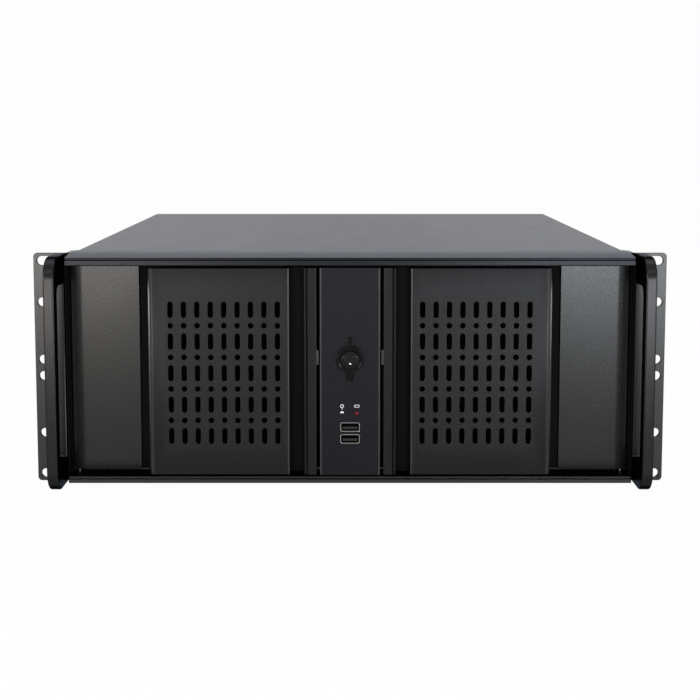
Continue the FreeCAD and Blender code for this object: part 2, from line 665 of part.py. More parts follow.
def door_strike():
    """Small tab on the closing edge of a door, beside the lock."""
    return box(DOOR_INNER - STRIKE_PROUD, DOOR_INNER, -DOOR_FACE, -DOOR_FACE + GRIP_SKIN,
               STRIKE_Z - STRIKE_HEIGHT / 2, STRIKE_Z + STRIKE_HEIGHT / 2)


# --- centre column, lock, ports ------------------------------------------------------
def board_heights():
    """Lower and upper edge of the small board behind the ports and lights."""
    return min(USB_HEIGHTS) - USB_BODY_H / 2 - BOARD_MARGIN, LIGHT_Z + LIGHT_R + BOARD_MARGIN


def port_cuts(y0, y1):
    """Holes for the ports and lights."""
    wide, high = USB_BODY_W + 2 * USB_FIT, USB_BODY_H + 2 * USB_FIT
    cuts = [through_y(0, z, wide, high, y0, y1) for z in USB_HEIGHTS]
    cuts += [bore_y(LIGHT_R + LIGHT_FIT, x, y0, y1, LIGHT_Z) for x in LIGHT_XS]
    return cuts


def centre_panel():
    """Flat front plate between the doors."""
    low, high = RAIL_FACE_BOTTOM + CENTRE_END_GAP, RAIL_UNDER - CENTRE_END_GAP
    plate = box(-CENTRE_HALF, CENTRE_HALF, -CENTRE_FACE, COLUMN_FRONT, low, high)
    cuts = port_cuts(-CENTRE_FACE, COLUMN_FRONT)
    cuts.append(bore_y(LOCK_TUBE_R, 0, -CENTRE_FACE, COLUMN_FRONT, LOCK_Z))
    return plate.cut(Part.makeCompound(cuts))


def centre_column():
    """Folded channel that carries the centre plate on the steel front panel."""
    outer, inner = COLUMN_HALF, COLUMN_HALF - COLUMN_SKIN
    outline = [
        (-outer, COLUMN_FRONT), (outer, COLUMN_FRONT), (outer, PANEL_Y - COLUMN_SKIN),
        (outer + COLUMN_LIP, PANEL_Y - COLUMN_SKIN), (outer + COLUMN_LIP, PANEL_Y), (inner, PANEL_Y),
        (inner, COLUMN_WEB_BACK), (-inner, COLUMN_WEB_BACK), (-inner, PANEL_Y),
        (-outer - COLUMN_LIP, PANEL_Y), (-outer - COLUMN_LIP, PANEL_Y - COLUMN_SKIN),
        (-outer, PANEL_Y - COLUMN_SKIN),
    ]
    channel = along_z(outline, RAIL_FACE_BOTTOM + CENTRE_END_GAP, RAIL_UNDER - CENTRE_END_GAP)
    half = max(USB_FLANGE_W / 2, max(abs(x) for x in LIGHT_XS) + 2 * LIGHT_R)
    low, high = min(USB_HEIGHTS) - USB_FLANGE_H / 2, LIGHT_Z + 2 * LIGHT_R
    cuts = [through_y(0, (low + high) / 2, 2 * half, high - low, COLUMN_FRONT, COLUMN_WEB_BACK),
            bore_y(LOCK_TUBE_R, 0, COLUMN_FRONT, COLUMN_WEB_BACK, LOCK_Z)]
    sweep = math.sqrt(LOCK_CAM_REACH ** 2 - inner ** 2) + LOCK_CAM_WIDTH / 2
    cuts.append(box(-outer - OVERCUT, outer + OVERCUT,
                    COLUMN_WEB_BACK, CAM_FRONT + LOCK_CAM_THICK + LOCK_CAM_ROOM,
                    LOCK_Z - sweep, LOCK_Z + sweep))
    return channel.cut(Part.makeCompound(cuts))


def lock_housing():
    """Fixed tube through plate and channel that the lock turns in."""
    tube = rod_y(LOCK_TUBE_R, 0, -CENTRE_FACE, NUT_BACK, LOCK_Z)
    return tube.cut(bore_y(LOCK_SHANK_R + LOCK_RUNNING, 0, -CENTRE_FACE, NUT_BACK, LOCK_Z))


def lock_nut():
    """Hexagon nut on the housing, behind the channel's web."""
    corners = [V(x, COLUMN_WEB_BACK, z) for x, z in hexagon(LOCK_NUT_R, 0, LOCK_Z)]
    nut = extrude(corners, V(0, LOCK_NUT_THICK, 0))
    return nut.cut(bore_y(LOCK_TUBE_R, 0, COLUMN_WEB_BACK, NUT_BACK, LOCK_Z))


def lock_knob():
    """Turning escutcheon: a coned ring with a lug above and below."""
    front = KNOB_BACK - LOCK_KNOB_THICK
    ring = Part.makeCone(LOCK_KNOB_R, LOCK_KNOB_R - LOCK_KNOB_CONE, LOCK_KNOB_THICK,
                         V(0, KNOB_BACK, LOCK_Z), V(0, -1, 0))
    half = LOCK_LUG_SPAN / 2
    wide = LOCK_LUG_WIDTH / 2
    neck = LOCK_KNOB_R + LOCK_LUG_NECK
    flare = LOCK_LUG_FLARE
    shoulder = math.sqrt((LOCK_KNOB_R - LOCK_KNOB_CONE / 2) ** 2 - flare ** 2)
    outline = [(-wide, half), (-wide, neck), (-flare, shoulder), (-flare, -shoulder),
               (-wide, -neck), (-wide, -half), (wide, -half), (wide, -neck),
               (flare, -shoulder), (flare, shoulder), (wide, neck), (wide, half)]
    lugs = extrude([V(x, KNOB_BACK - LOCK_LUG_THICK, LOCK_Z + z) for x, z in outline],
                   V(0, LOCK_LUG_THICK, 0))
    return ring.fuse(lugs).cut(bore_y(LOCK_FACE_R, 0, front, KNOB_BACK, LOCK_Z))


def lock_cylinder():
    """Key cylinder: a slotted face in the knob and a shank through the housing."""
    front = KNOB_BACK - LOCK_KNOB_THICK - LOCK_FACE_PROUD
    face = rod_y(LOCK_FACE_R, 0, front, KNOB_BACK, LOCK_Z)
    shank = rod_y(LOCK_SHANK_R, 0, KNOB_BACK, CAM_FRONT, LOCK_Z)
    key = box(-KEY_SLOT_WIDTH / 2, KEY_SLOT_WIDTH / 2, front - OVERCUT, front + KEY_SLOT_DEPTH,
              LOCK_Z - KEY_SLOT_LENGTH / 2, LOCK_Z + KEY_SLOT_LENGTH / 2)
    return face.fuse(shank).cut(key)


def lock_cam():
    """Two-ended bar on the cylinder's end; turned level, it holds both doors."""
    half = LOCK_CAM_WIDTH / 2
    bar = box(-half, half, CAM_FRONT, CAM_FRONT + LOCK_CAM_THICK,
              LOCK_Z - LOCK_CAM_REACH, LOCK_Z + LOCK_CAM_REACH)
    return rounded(bar, LOCK_CAM_CORNER_R, V(0, 1, 0), lambda p: True)


def usb_ports():
    """Two equal metal receptacle shells, each with a front flange."""
    shells = []
    for z in USB_HEIGHTS:
        flange = box(-USB_FLANGE_W / 2, USB_FLANGE_W / 2, -CENTRE_FACE - USB_FLANGE_T, -CENTRE_FACE,
                     z - USB_FLANGE_H / 2, z + USB_FLANGE_H / 2)
        body = box(-USB_BODY_W / 2, USB_BODY_W / 2, -CENTRE_FACE, BOARD_FRONT,
                   z - USB_BODY_H / 2, z + USB_BODY_H / 2)
        mouth = through_y(0, z, USB_MOUTH_W, USB_MOUTH_H, -CENTRE_FACE - USB_FLANGE_T, BOARD_FRONT)
        shells.append(flange.fuse(body).cut(mouth))
    return shells


def usb_tongues():
    """Two equal contact tongues on the board, one in each port."""
    return [box(-TONGUE_W / 2, TONGUE_W / 2, -CENTRE_FACE + TONGUE_SETBACK, BOARD_FRONT,
                z - TONGUE_DROP - TONGUE_H / 2, z - TONGUE_DROP + TONGUE_H / 2) for z in USB_HEIGHTS]


def front_board():
    """Small circuit board behind the ports and lights, on a spacer at each side."""
    low, high = board_heights()
    plate = box(-BOARD_HALF, BOARD_HALF, BOARD_FRONT, BOARD_FRONT + BOARD_THICK, low, high)
    spacers = []
    for side in (-1, 1):
        x0, x1 = sorted((side * BOARD_HALF, side * (BOARD_HALF - SPACER_WIDTH)))
        spacers.append(box(x0, x1, COLUMN_WEB_BACK, BOARD_FRONT, low, high))
    return plate.multiFuse(spacers)


def light(x):
    """Round light from the board through the front plate."""
    return rod_y(LIGHT_R, x, -CENTRE_FACE - LIGHT_PROUD, BOARD_FRONT, LIGHT_Z)


# --- buttons -------------------------------------------------------------------------
def button(radius, z):
    """Round push button that slides in the housing behind the panel."""
    front = PANEL_Y - BUTTON_PROUD
    return rod_y(radius, BUTTON_X, front, front + BUTTON_LENGTH, z)


def button_housing():
    """Switch block behind the front panel, with a pocket for each button."""
    wall = SWITCH_WALL
    back = PANEL_Y - BUTTON_PROUD + BUTTON_LENGTH + BUTTON_TRAVEL + wall
    block = box(BUTTON_X - POWER_R - wall, BUTTON_X + POWER_R + wall, PANEL_BACK, back,
                RESET_Z - RESET_R - wall, POWER_Z + POWER_R + wall)
    pockets = [rod_y(r + BUTTON_FIT, BUTTON_X, PANEL_BACK - OVERCUT, back - wall + BUTTON_FIT, z)
               for r, z in ((POWER_R, POWER_Z), (RESET_R, RESET_Z))]
    return block.cut(Part.makeCompound(pockets))


# --- drive bays ----------------------------------------------------------------------
def drive_cage():
    """Open-ended cage for one stack of drives, on two feet on the floor."""
    x0, x1 = CAGE_X - BAY_WIDTH / 2, CAGE_X + BAY_WIDTH / 2
    y0, y1 = PANEL_BACK, PANEL_BACK + CAGE_DEPTH
    skin = CAGE_SKIN
    outline = [
        (x0 - skin - CAGE_FOOT, SHEET), (x0, SHEET), (x0, BAY_TOP), (x1, BAY_TOP), (x1, SHEET),
        (x1 + skin + CAGE_FOOT, SHEET), (x1 + skin + CAGE_FOOT, SHEET + skin), (x1 + skin, SHEET + skin),
        (x1 + skin, BAY_TOP + skin), (x0 - skin, BAY_TOP + skin), (x0 - skin, SHEET + skin),
        (x0 - skin - CAGE_FOOT, SHEET + skin),
    ]
    shell = extrude([V(x, y0, z) for x, z in outline], V(0, y1 - y0, 0))
    cuts = []
    for bay in range(BAY_COUNT):
        z = BAY_BOTTOM + (bay + 0.5) * BAY_PITCH
        cuts.append(box(x0 - skin - OVERCUT, x1 + skin + OVERCUT,
                        y0 + CAGE_SLOT_INSET, y1 - CAGE_SLOT_INSET,
                        z - CAGE_SLOT_HEIGHT / 2, z + CAGE_SLOT_HEIGHT / 2))
    return shell.cut(Part.makeCompound(cuts))


def bay_cover(side, bay):
    """Vented blank cover of one bay, with two side clips gripping the cage."""
    middle = side * CAGE_X
    half = BAY_WIDTH / 2 - BAY_COVER_FIT
    x0, x1 = middle - half, middle + half
    clip = PANEL_Y + BAY_COVER_CLIP
    low = BAY_BOTTOM + bay * BAY_PITCH + BAY_COVER_FIT
    high = low + BAY_PITCH - 2 * BAY_COVER_FIT
    outline = [
        (x0, PANEL_Y), (x1, PANEL_Y), (x1, clip), (x1 - SHEET, clip), (x1 - SHEET, PANEL_BACK),
        (x0 + SHEET, PANEL_BACK), (x0 + SHEET, clip), (x0, clip),
    ]
    body = along_z(outline, low, high)
    cuts = []
    for i in range(BAY_VENTS):
        z = (low + high) / 2 + (i - (BAY_VENTS - 1) / 2) * BAY_VENT_PITCH
        cuts.append(through_y(middle, z, BAY_VENT_W, BAY_VENT_H, PANEL_Y, PANEL_BACK))
    return body.cut(Part.makeCompound(cuts))


# --- fans and inside -----------------------------------------------------------------
def fan_frame(x):
    """Square fan frame with round duct, motor plate on struts and bearing boss."""
    half = FAN_SIZE / 2
    y0, y1 = REAR_Y - FAN_DEPTH, REAR_Y
    frame = box(x - half, x + half, y0, y1, FAN_Z - half, FAN_Z + half)
    frame = frame.cut(bore_y(FAN_BORE_R, x, y0, y1, FAN_Z))
    plate_y = y1 - FAN_PLATE
    plate = rod_y(FAN_HUB_R, x, plate_y, y1, FAN_Z)
    strut = FAN_STRUT_W / 2
    struts = [box(x - half, x + half, plate_y, y1, FAN_Z - strut, FAN_Z + strut),
              box(x - strut, x + strut, plate_y, y1, FAN_Z - half, FAN_Z + half)]
    frame = frame.multiFuse([plate] + struts).removeSplitter()
    bearing_end = y1 - FAN_SHAFT_END + FAN_SHAFT_ROOM
    return frame.cut(rod_y(FAN_SHAFT_R + FAN_RUNNING, x, plate_y - OVERCUT, bearing_end, FAN_Z))


def fan_rotor(x):
    """Hub with tilted flat blades and a short shaft in the frame's boss."""
    back = REAR_Y - FAN_PLATE - FAN_END_GAP
    front = REAR_Y - FAN_DEPTH + FAN_END_GAP
    hub = rod_y(FAN_HUB_R, x, front, back, FAN_Z)
    shaft = rod_y(FAN_SHAFT_R, x, back, REAR_Y - FAN_SHAFT_END, FAN_Z)
    y0, y1 = front + FAN_BLADE_EDGE, back - FAN_BLADE_EDGE
    rise = (y1 - y0) / 2
    length = math.sqrt((FAN_BORE_R - FAN_TIP_GAP) ** 2 - rise ** 2)
    section = [(y0, -rise), (y0 + FAN_BLADE_THICK, -rise), (y1, rise), (y1 - FAN_BLADE_THICK, rise)]
    blades = []
    for i in range(FAN_BLADES):
        blade = extrude([V(x, y, FAN_Z + z) for y, z in section], V(length, 0, 0))
        blade.rotate(V(x, 0, FAN_Z), V(0, 1, 0), 360 / FAN_BLADES * i)
        blades.append(blade)
    return hub.multiFuse([shaft] + blades)


def standoffs():
    """Equal hexagon standoffs for a motherboard, tapped from above."""
    top = SHEET + STANDOFF_H
    columns = [(IO_X0 + IO_X1) / 2 + x for x in BOARD_HOLE_X]
    posts = []
    for x in [x for x in columns if abs(x) + STANDOFF_R < PAN_X]:
        for y in [REAR_Y - row for row in BOARD_HOLE_Y]:
            post = extrude([V(cx, cy, SHEET) for cx, cy in hexagon(STANDOFF_R, x, y)], V(0, 0, STANDOFF_H))
            posts.append(post.cut(rod_z(STANDOFF_BORE_R, x, y, top - STANDOFF_BORE_DEPTH, top + OVERCUT)))
    return posts


def cross_brace():
    """Channel across the case under the cover, between the side walls."""
    low, high = COVER_UNDER - BRACE_LIP, COVER_UNDER
    y0, y1 = BRACE_Y - BRACE_WIDTH / 2, BRACE_Y + BRACE_WIDTH / 2
    outline = [(y0, low), (y0 + SHEET, low), (y0 + SHEET, high - SHEET), (y1 - SHEET, high - SHEET),
               (y1 - SHEET, low), (y1, low), (y1, high), (y0, high)]
    return along_x(outline, -PAN_X, PAN_X)


# --- write every node ----------------------------------------------------------------
save("base_pan", base_pan())
save("rear_panel", rear_panel())
save("front_panel", front_panel())
save("top_cover", top_cover())
save("top_rail", rail(True))
save("bottom_rail", rail(False))
save_pair("ear", ear())
save_pair("handle", handle())

save_pair("door_vent_panel", vent_panel())
save_pair("door_grip", door_grip())
save_pair("door_carrier", door_carrier())
save_pair("door_filter", door_filter())
save_pair("door_side_plate", side_plate())
save_pair("door_strike", door_strike())
save("right_door_pins", *hinge_pins())
save("left_door_pins", *[mirrored(pin) for pin in hinge_pins()])

save("centre_panel", centre_panel())
save("centre_column", centre_column())
save("lock_housing", lock_housing())
save("lock_nut", lock_nut())
save("lock_knob", lock_knob())
save("lock_cylinder", lock_cylinder())
save("lock_cam", lock_cam())
save("usb_ports", *usb_ports())
save("usb_tongues", *usb_tongues())
save("front_board", front_board())
save("power_light", light(LIGHT_XS[0]))
save("drive_light", light(LIGHT_XS[1]))
save("power_button", button(POWER_R, POWER_Z))
save("reset_button", button(RESET_R, RESET_Z))
save("button_housing", button_housing())

save_pair("drive_cage", drive_cage())
for bay_number in range(BAY_COUNT):
    save("right_bay_cover_" + str(bay_number + 1), bay_cover(1, bay_number))
    save("left_bay_cover_" + str(bay_number + 1), bay_cover(-1, bay_number))
save("slot_covers", *[slot_cover(slot_number) for slot_number in range(SLOT_COUNT)])
for fan_name, fan_x in zip(("left_fan", "right_fan"), FAN_XS):
    save(fan_name + "_frame", fan_frame(fan_x))
    save(fan_name + "_rotor", fan_rotor(fan_x))
save("standoffs", *standoffs())
save("cross_brace", cross_brace())
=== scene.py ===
"""Empty 4U rackmount server case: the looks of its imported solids, put together piece by piece."""
import math
import bmesh
import bpy
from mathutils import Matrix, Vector


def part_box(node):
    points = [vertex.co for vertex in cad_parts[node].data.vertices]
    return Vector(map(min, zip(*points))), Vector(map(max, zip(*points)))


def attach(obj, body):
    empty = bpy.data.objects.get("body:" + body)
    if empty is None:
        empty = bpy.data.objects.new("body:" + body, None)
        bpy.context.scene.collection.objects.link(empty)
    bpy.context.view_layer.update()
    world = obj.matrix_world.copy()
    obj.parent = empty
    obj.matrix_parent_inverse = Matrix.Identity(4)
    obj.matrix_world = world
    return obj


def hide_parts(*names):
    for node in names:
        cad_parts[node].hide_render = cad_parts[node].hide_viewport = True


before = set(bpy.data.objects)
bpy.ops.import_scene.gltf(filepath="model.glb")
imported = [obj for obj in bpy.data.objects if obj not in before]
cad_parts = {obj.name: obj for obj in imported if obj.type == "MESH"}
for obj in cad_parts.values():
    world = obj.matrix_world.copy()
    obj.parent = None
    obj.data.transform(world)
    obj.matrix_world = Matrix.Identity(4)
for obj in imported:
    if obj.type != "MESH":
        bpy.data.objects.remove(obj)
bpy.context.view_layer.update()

# --- camera --------------------------------------------------------------------------
# A viewer about a metre in front of the ears, a little above the lid, looks slightly down
# at the case, square to its front.
EYE = (0, -0.9736, 0.2744)
LOOK_DOWN = 5.65
bpy.ops.object.select_all(action="DESELECT")
bpy.ops.object.camera_add(location=EYE, rotation=(math.radians(90 - LOOK_DOWN), 0, 0))
camera = bpy.context.object
camera.data.lens = 66.13
camera.data.sensor_width = 36
camera.data.shift_y = -0.14
camera.data.clip_start = 0.01
bpy.context.scene.camera = camera

# --- room ----------------------------------------------------------------------------
# A pale floor that curves up into a backdrop behind the case, and a white room round it.
# Both are stage, not part of the case. The floor keeps a soft shadow.


class Value:
    """A shader socket that can stand in a Python sum; each operator adds its Math node."""

    def __init__(self, paint, socket):
        self.paint, self.socket = paint, socket

    def sum(self, operation, first, second):
        return self.paint.node("ShaderNodeMath", {"operation": operation}, {0: first, 1: second})

    def __add__(self, other):
        return self.sum("ADD", self, other)

    def __radd__(self, other):
        return self.sum("ADD", other, self)

    def __sub__(self, other):
        return self.sum("SUBTRACT", self, other)

    def __rsub__(self, other):
        return self.sum("SUBTRACT", other, self)

    def __mul__(self, other):
        return self.sum("MULTIPLY", self, other)

    def __rmul__(self, other):
        return self.sum("MULTIPLY", other, self)


class Paint:
    """One material or world: its nodes, all added by one method."""

    def __init__(self, owner):
        self.owner = owner
        owner.use_nodes = True
        self.tree = owner.node_tree

    def node(self, kind, settings=None, sockets=None, output=0):
        """Adds a node: its settings first, then the values or links of its sockets."""
        node = self.tree.nodes.new(kind)
        for key, value in (settings or {}).items():
            setattr(node, key, value)
        for key, value in (sockets or {}).items():
            self.feed(node.inputs[key], value)
        return Value(self, node.outputs[output] if node.outputs else None)

    def feed(self, socket, value):
        """Links a Value to a socket, or sets a plain number or colour on it."""
        if isinstance(value, Value):
            self.tree.links.new(value.socket, socket)
        elif socket.type == "RGBA" and len(value) == 3:
            socket.default_value = (*value, 1)
        else:
            socket.default_value = value


def edit(kind="VERT"):
    """Goes into edit mode on the active piece, in one select mode, with all selected."""
    bpy.ops.object.mode_set(mode="EDIT")
    bpy.ops.mesh.select_mode(type=kind)
    bpy.ops.mesh.select_all(action="SELECT")


def pick(wanted):
    """In edit mode: selects the points, edges or faces that pass a test, as the mode says."""
    data = bpy.context.object.data
    kind = bpy.context.tool_settings.mesh_select_mode
    bpy.ops.mesh.select_all(action="DESELECT")
    mesh = bmesh.from_edit_mesh(data)
    parts = mesh.verts if kind[0] else mesh.edges if kind[1] else mesh.faces
    for part in parts:
        if wanted(part):
            part.select = True
    mesh.select_flush_mode()
    bmesh.update_edit_mesh(data)


def middle_of(part):
    """Middle of an edge or face."""
    return sum((v.co for v in part.verts), Vector()) / len(part.verts)


def pull(x=0, y=0, z=0):
    """In edit mode: extrudes what is selected by a distance along the axes."""
    bpy.ops.mesh.extrude_region_move(TRANSFORM_OT_translate={"value": (x, y, z)})


def leave():
    """Back to object mode, with the piece still selected."""
    bpy.ops.object.mode_set(mode="OBJECT")


def settle():
    """Puts the place, turn and size of the selected piece into its mesh."""
    bpy.ops.object.transform_apply(location=True, rotation=True, scale=True)


def start(name, add, **shape):
    """Adds a primitive as a new piece."""
    bpy.ops.object.select_all(action="DESELECT")
    add(**shape)
    piece = bpy.context.object
    piece.name = name
    return piece


FLOOR = -0.0004
ROOM_HALF = 5
room = start("room", bpy.ops.mesh.primitive_plane_add, size=2 * ROOM_HALF, location=(0, 0, FLOOR))
edit("EDGE")
pick(lambda edge: middle_of(edge).y > ROOM_HALF - 0.1)
pull(z=ROOM_HALF)
pick(lambda edge: middle_of(edge).y > ROOM_HALF - 0.1 and abs(middle_of(edge).z) < 0.01)
bpy.ops.mesh.bevel(offset=2, segments=12)
leave()
bpy.ops.object.shade_smooth()
settle()


def seen_plainly(paint):
    """1 on camera, glossy and transmission rays, 0 on the rays that carry light."""
    camera_ray, glossy_ray, transmission_ray = (
        paint.node("ShaderNodeLightPath", output=ray) for ray in (0, 3, 6))
    return camera_ray + glossy_ray + transmission_ray


room_white = Paint(bpy.data.materials.new("room_white"))
room_white.tree.nodes.clear()
room_white.node("ShaderNodeOutputMaterial", sockets={0: room_white.node(
    "ShaderNodeMixShader", sockets={
        0: seen_plainly(room_white) * 0.97,
        1: room_white.node("ShaderNodeBsdfDiffuse", sockets={0: (0.8, 0.8, 0.8)}),
        2: room_white.node("ShaderNodeEmission", sockets={0: (1, 1, 1), 1: 1.0})})})
room.data.materials.append(room_white.owner)

air = Paint(bpy.data.worlds.new("air"))
bpy.context.scene.world = air.owner
air.tree.nodes.clear()
air.node("ShaderNodeOutputWorld", sockets={0: air.node("ShaderNodeMixShader", sockets={
    0: seen_plainly(air),
    1: air.node("ShaderNodeBackground", sockets={0: (0.95, 0.97, 1), 1: 0.45}),
    2: air.node("ShaderNodeBackground", sockets={0: (1, 1, 1), 1: 1.0})})})

# --- lamps ---------------------------------------------------------------------------
# Soft panels: one over the case, one high in front, a low pair in front whose light falls
# off down the doors, and one at each side for the edges.


def lamp(name, place, target, size, height, power, tint=(1, 1, 1)):
    """Adds a soft panel that faces a point."""
    turn = (Vector(target) - Vector(place)).to_track_quat("-Z", "Y").to_euler()
    bpy.ops.object.select_all(action="DESELECT")
    bpy.ops.object.light_add(type="AREA", location=place, rotation=turn)
    light = bpy.context.object
    light.name = name
    light.data.shape = "RECTANGLE"
    light.data.size, light.data.size_y = size, height
    light.data.energy, light.data.color = power, tint
    light.visible_camera = False


lamp("over", (0, 0.5, 2.2), (0, 0.2, 0.1), 2.4, 1.4, 23)
lamp("high_front", (0, -1.8, 1.6), (0, 0, 0.1), 1.8, 0.4, 8, (0.94, 0.97, 1))
lamp("front_left", (-0.58, -1.5, 0.068), (-0.58, 0, 0.068), 0.52, 0.115, 6.9, (1, 0.96, 0.92))
lamp("front_right", (0.54, -1.5, 0.068), (0.54, 0, 0.068), 0.52, 0.115, 9, (0.9, 0.95, 1))
lamp("left", (-2.0, -0.2, 0.17), (0, -0.2, 0.17), 0.9, 0.32, 30, (1, 0.98, 0.95))
lamp("right", (2.0, -0.2, 0.17), (0, -0.2, 0.17), 0.9, 0.32, 24, (0.96, 0.98, 1))
bpy.context.scene.view_settings.view_transform = "Standard"

# --- case steel ----------------------------------------------------------------------
# Floor and side walls, rear panel, the wall behind the doors and the slot covers are folded
# from 1.2 mm steel and powder coated dark grey with a fine grain.


def coords(paint, scale):
    """Object coordinates, stretched by a scale along each axis."""
    point = paint.node("ShaderNodeTexCoord", output=3)
    return paint.node("ShaderNodeMapping", sockets={"Vector": point, "Scale": scale})


def noise(paint, scale, detail=2.0):
    """Noise between 0 and 1; the scale is in grains per metre along each axis."""
    return paint.node("ShaderNodeTexNoise", sockets={
        "Vector": coords(paint, scale), "Scale": 1.0, "Detail": detail})


def blend(paint, factor, first, second):
    """A colour between two colours."""
    return paint.node("ShaderNodeMix", {"data_type": "RGBA"}, {0: factor, 6: first, 7: second}, 2)


def coat(name, colour, rough=0.5, grain=1400, shade=0.1, bump=0.15, stretch=(1, 1, 1),
         metal=0.0, level=0.5, cloud=9, edge=(1, 1, 1)):
    """A coat with a fine grain, a slow cloudiness, and rubbed spots that shine more."""
    paint = Paint(bpy.data.materials.new(name))
    shader = paint.tree.nodes["Principled BSDF"]
    fine = noise(paint, [grain * s for s in stretch], 3)
    slow = noise(paint, [cloud * s for s in stretch], 3)
    worn = noise(paint, [38, 38, 38], 5)
    mask = fine * 0.7 + slow * 0.3
    low = tuple(c * (1 - shade) for c in colour)
    high = tuple(c * (1 + shade) for c in colour)
    paint.feed(shader.inputs["Base Color"], blend(paint, mask, low, high))
    paint.feed(shader.inputs["Roughness"],
               rough * 0.8 + worn * (rough * 0.14) + fine * (rough * 0.26))
    paint.feed(shader.inputs["Normal"], paint.node("ShaderNodeBump", sockets={
        "Strength": bump, "Distance": 0.0002, "Height": fine}))
    shader.inputs["Metallic"].default_value = metal
    shader.inputs["Specular IOR Level"].default_value = level
    shader.inputs["Specular Tint"].default_value = (*edge, 1)
    return paint.owner


def dress(paint, *nodes):
    """Solids whose shape is right keep it and get their finish."""
    for node in nodes:
        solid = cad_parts[node]
        solid.data.materials.clear()
        solid.data.materials.append(paint)


case_steel = coat("case_steel", (0.039, 0.042, 0.053), rough=0.46, grain=1100, shade=0.12,
                  bump=0.2, level=0.37)
dress(case_steel, "base_pan", "rear_panel", "front_panel", "slot_covers")

# --- drive cages, brace, lock nut and cam --------------------------------------------
# The cages behind the doors, the brace across the case, and the lock's nut and its
# two-ended cam are pressed from bare zinc-plated steel with a soft spangle.
zinc_steel = coat("zinc_steel", (0.42, 0.43, 0.42), rough=0.56, grain=500, shade=0.18, bump=0.05,
                  metal=0.85, cloud=70)
dress(zinc_steel, "cross_brace", "left_drive_cage", "right_drive_cage", "lock_nut", "lock_cam")

# --- lid -----------------------------------------------------------------------------
# The lid is one steel sheet with its two sides folded down over the walls. It is coated
# like the rest and held by small screws through its sides.


def block(name, low, high):
    """A box between two corners, with its place in its mesh."""
    piece = start(name, bpy.ops.mesh.primitive_cube_add, size=1,
                  location=[(a + b) / 2 for a, b in zip(low, high)])
    piece.scale = [b - a for a, b in zip(low, high)]
    settle()
    return piece


def soften(width, segments=2, angle=35):
    """Rounds the sharp edges of the active piece and shades it smooth up to them."""
    edit()
    bpy.ops.mesh.normals_make_consistent(inside=False)
    leave()
    bpy.ops.object.shade_smooth()
    bevel = bpy.context.object.modifiers.new("soft", "BEVEL")
    bevel.width, bevel.segments = width, segments
    bevel.limit_method, bevel.angle_limit = "ANGLE", math.radians(angle)
    bevel.use_clamp_overlap, bevel.harden_normals = False, True
    bpy.ops.object.modifier_apply(modifier=bevel.name)


def thicken(sheet):
    """Gives the active piece, a bare surface, the thickness of its sheet, inwards."""
    wall = bpy.context.object.modifiers.new("sheet", "SOLIDIFY")
    wall.thickness, wall.offset = sheet, -1
    bpy.ops.object.modifier_apply(modifier=wall.name)


def place(piece, paint, body, slot, *nodes):
    """Gives a finished piece its material, its body and the solids it stands for."""
    piece.data.materials.clear()
    piece.data.materials.append(paint)
    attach(piece, body)
    if nodes:
        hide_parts(*nodes)


LID_SHEET = 0.0012
low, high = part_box("top_cover")
lid = block("lid", low, high)
edit("FACE")
pick(lambda face: abs(face.normal.z) < 0.5 and abs(face.normal.y) > 0.5 or face.normal.z < -0.5)
bpy.ops.mesh.delete(type="FACE")
bpy.ops.mesh.select_mode(type="EDGE")
pick(lambda edge: abs(abs(middle_of(edge).x) - high.x) < 1e-5
     and abs(middle_of(edge).z - high.z) < 1e-5)
bpy.ops.mesh.bevel(offset=LID_SHEET * 1.3, segments=4)
leave()
thicken(LID_SHEET)
soften(0.0002, 2)
place(lid, case_steel, "case", "case_steel", "top_cover")

# --- rails ---------------------------------------------------------------------------
# Two extruded aluminium rails close the front above and below the doors. Each has a flat
# face with a fine groove along its upper edge, and a slope on the side away from the
# doors. The bottom one has a low lip under them. Both are black anodised.
# Its reflections are tinted blue: a painted reflection of the room, seen on the top rail's slope.
anodised = coat("anodised", (0.014, 0.0143, 0.016), rough=0.33, grain=1500, shade=0.2, bump=0.12,
                stretch=(0.05, 1, 1), metal=1.0, edge=(0.7, 0.745, 0.8))
# The bottom rail's copy is lighter, with dimmer reflections: painted light and shade.
anodised_low_painted_light = coat("anodised_low_painted_light", (0.028, 0.0275, 0.029), rough=0.3, grain=1500, shade=0.2,
                    bump=0.12, stretch=(0.05, 1, 1), metal=1.0, edge=(0.3, 0.3, 0.32))


def slice_at(point, normal, clear=False):
    """In edit mode: cuts the whole piece by a plane, and may drop what is beyond it."""
    bpy.ops.mesh.select_all(action="SELECT")
    bpy.ops.mesh.bisect(plane_co=point, plane_no=Vector(normal).normalized(), threshold=1e-6,
                        use_fill=clear, clear_outer=clear)


def merge():
    """In edit mode: merges points that lie on each other."""
    bpy.ops.mesh.select_all(action="SELECT")
    bpy.ops.mesh.remove_doubles(threshold=1e-6)


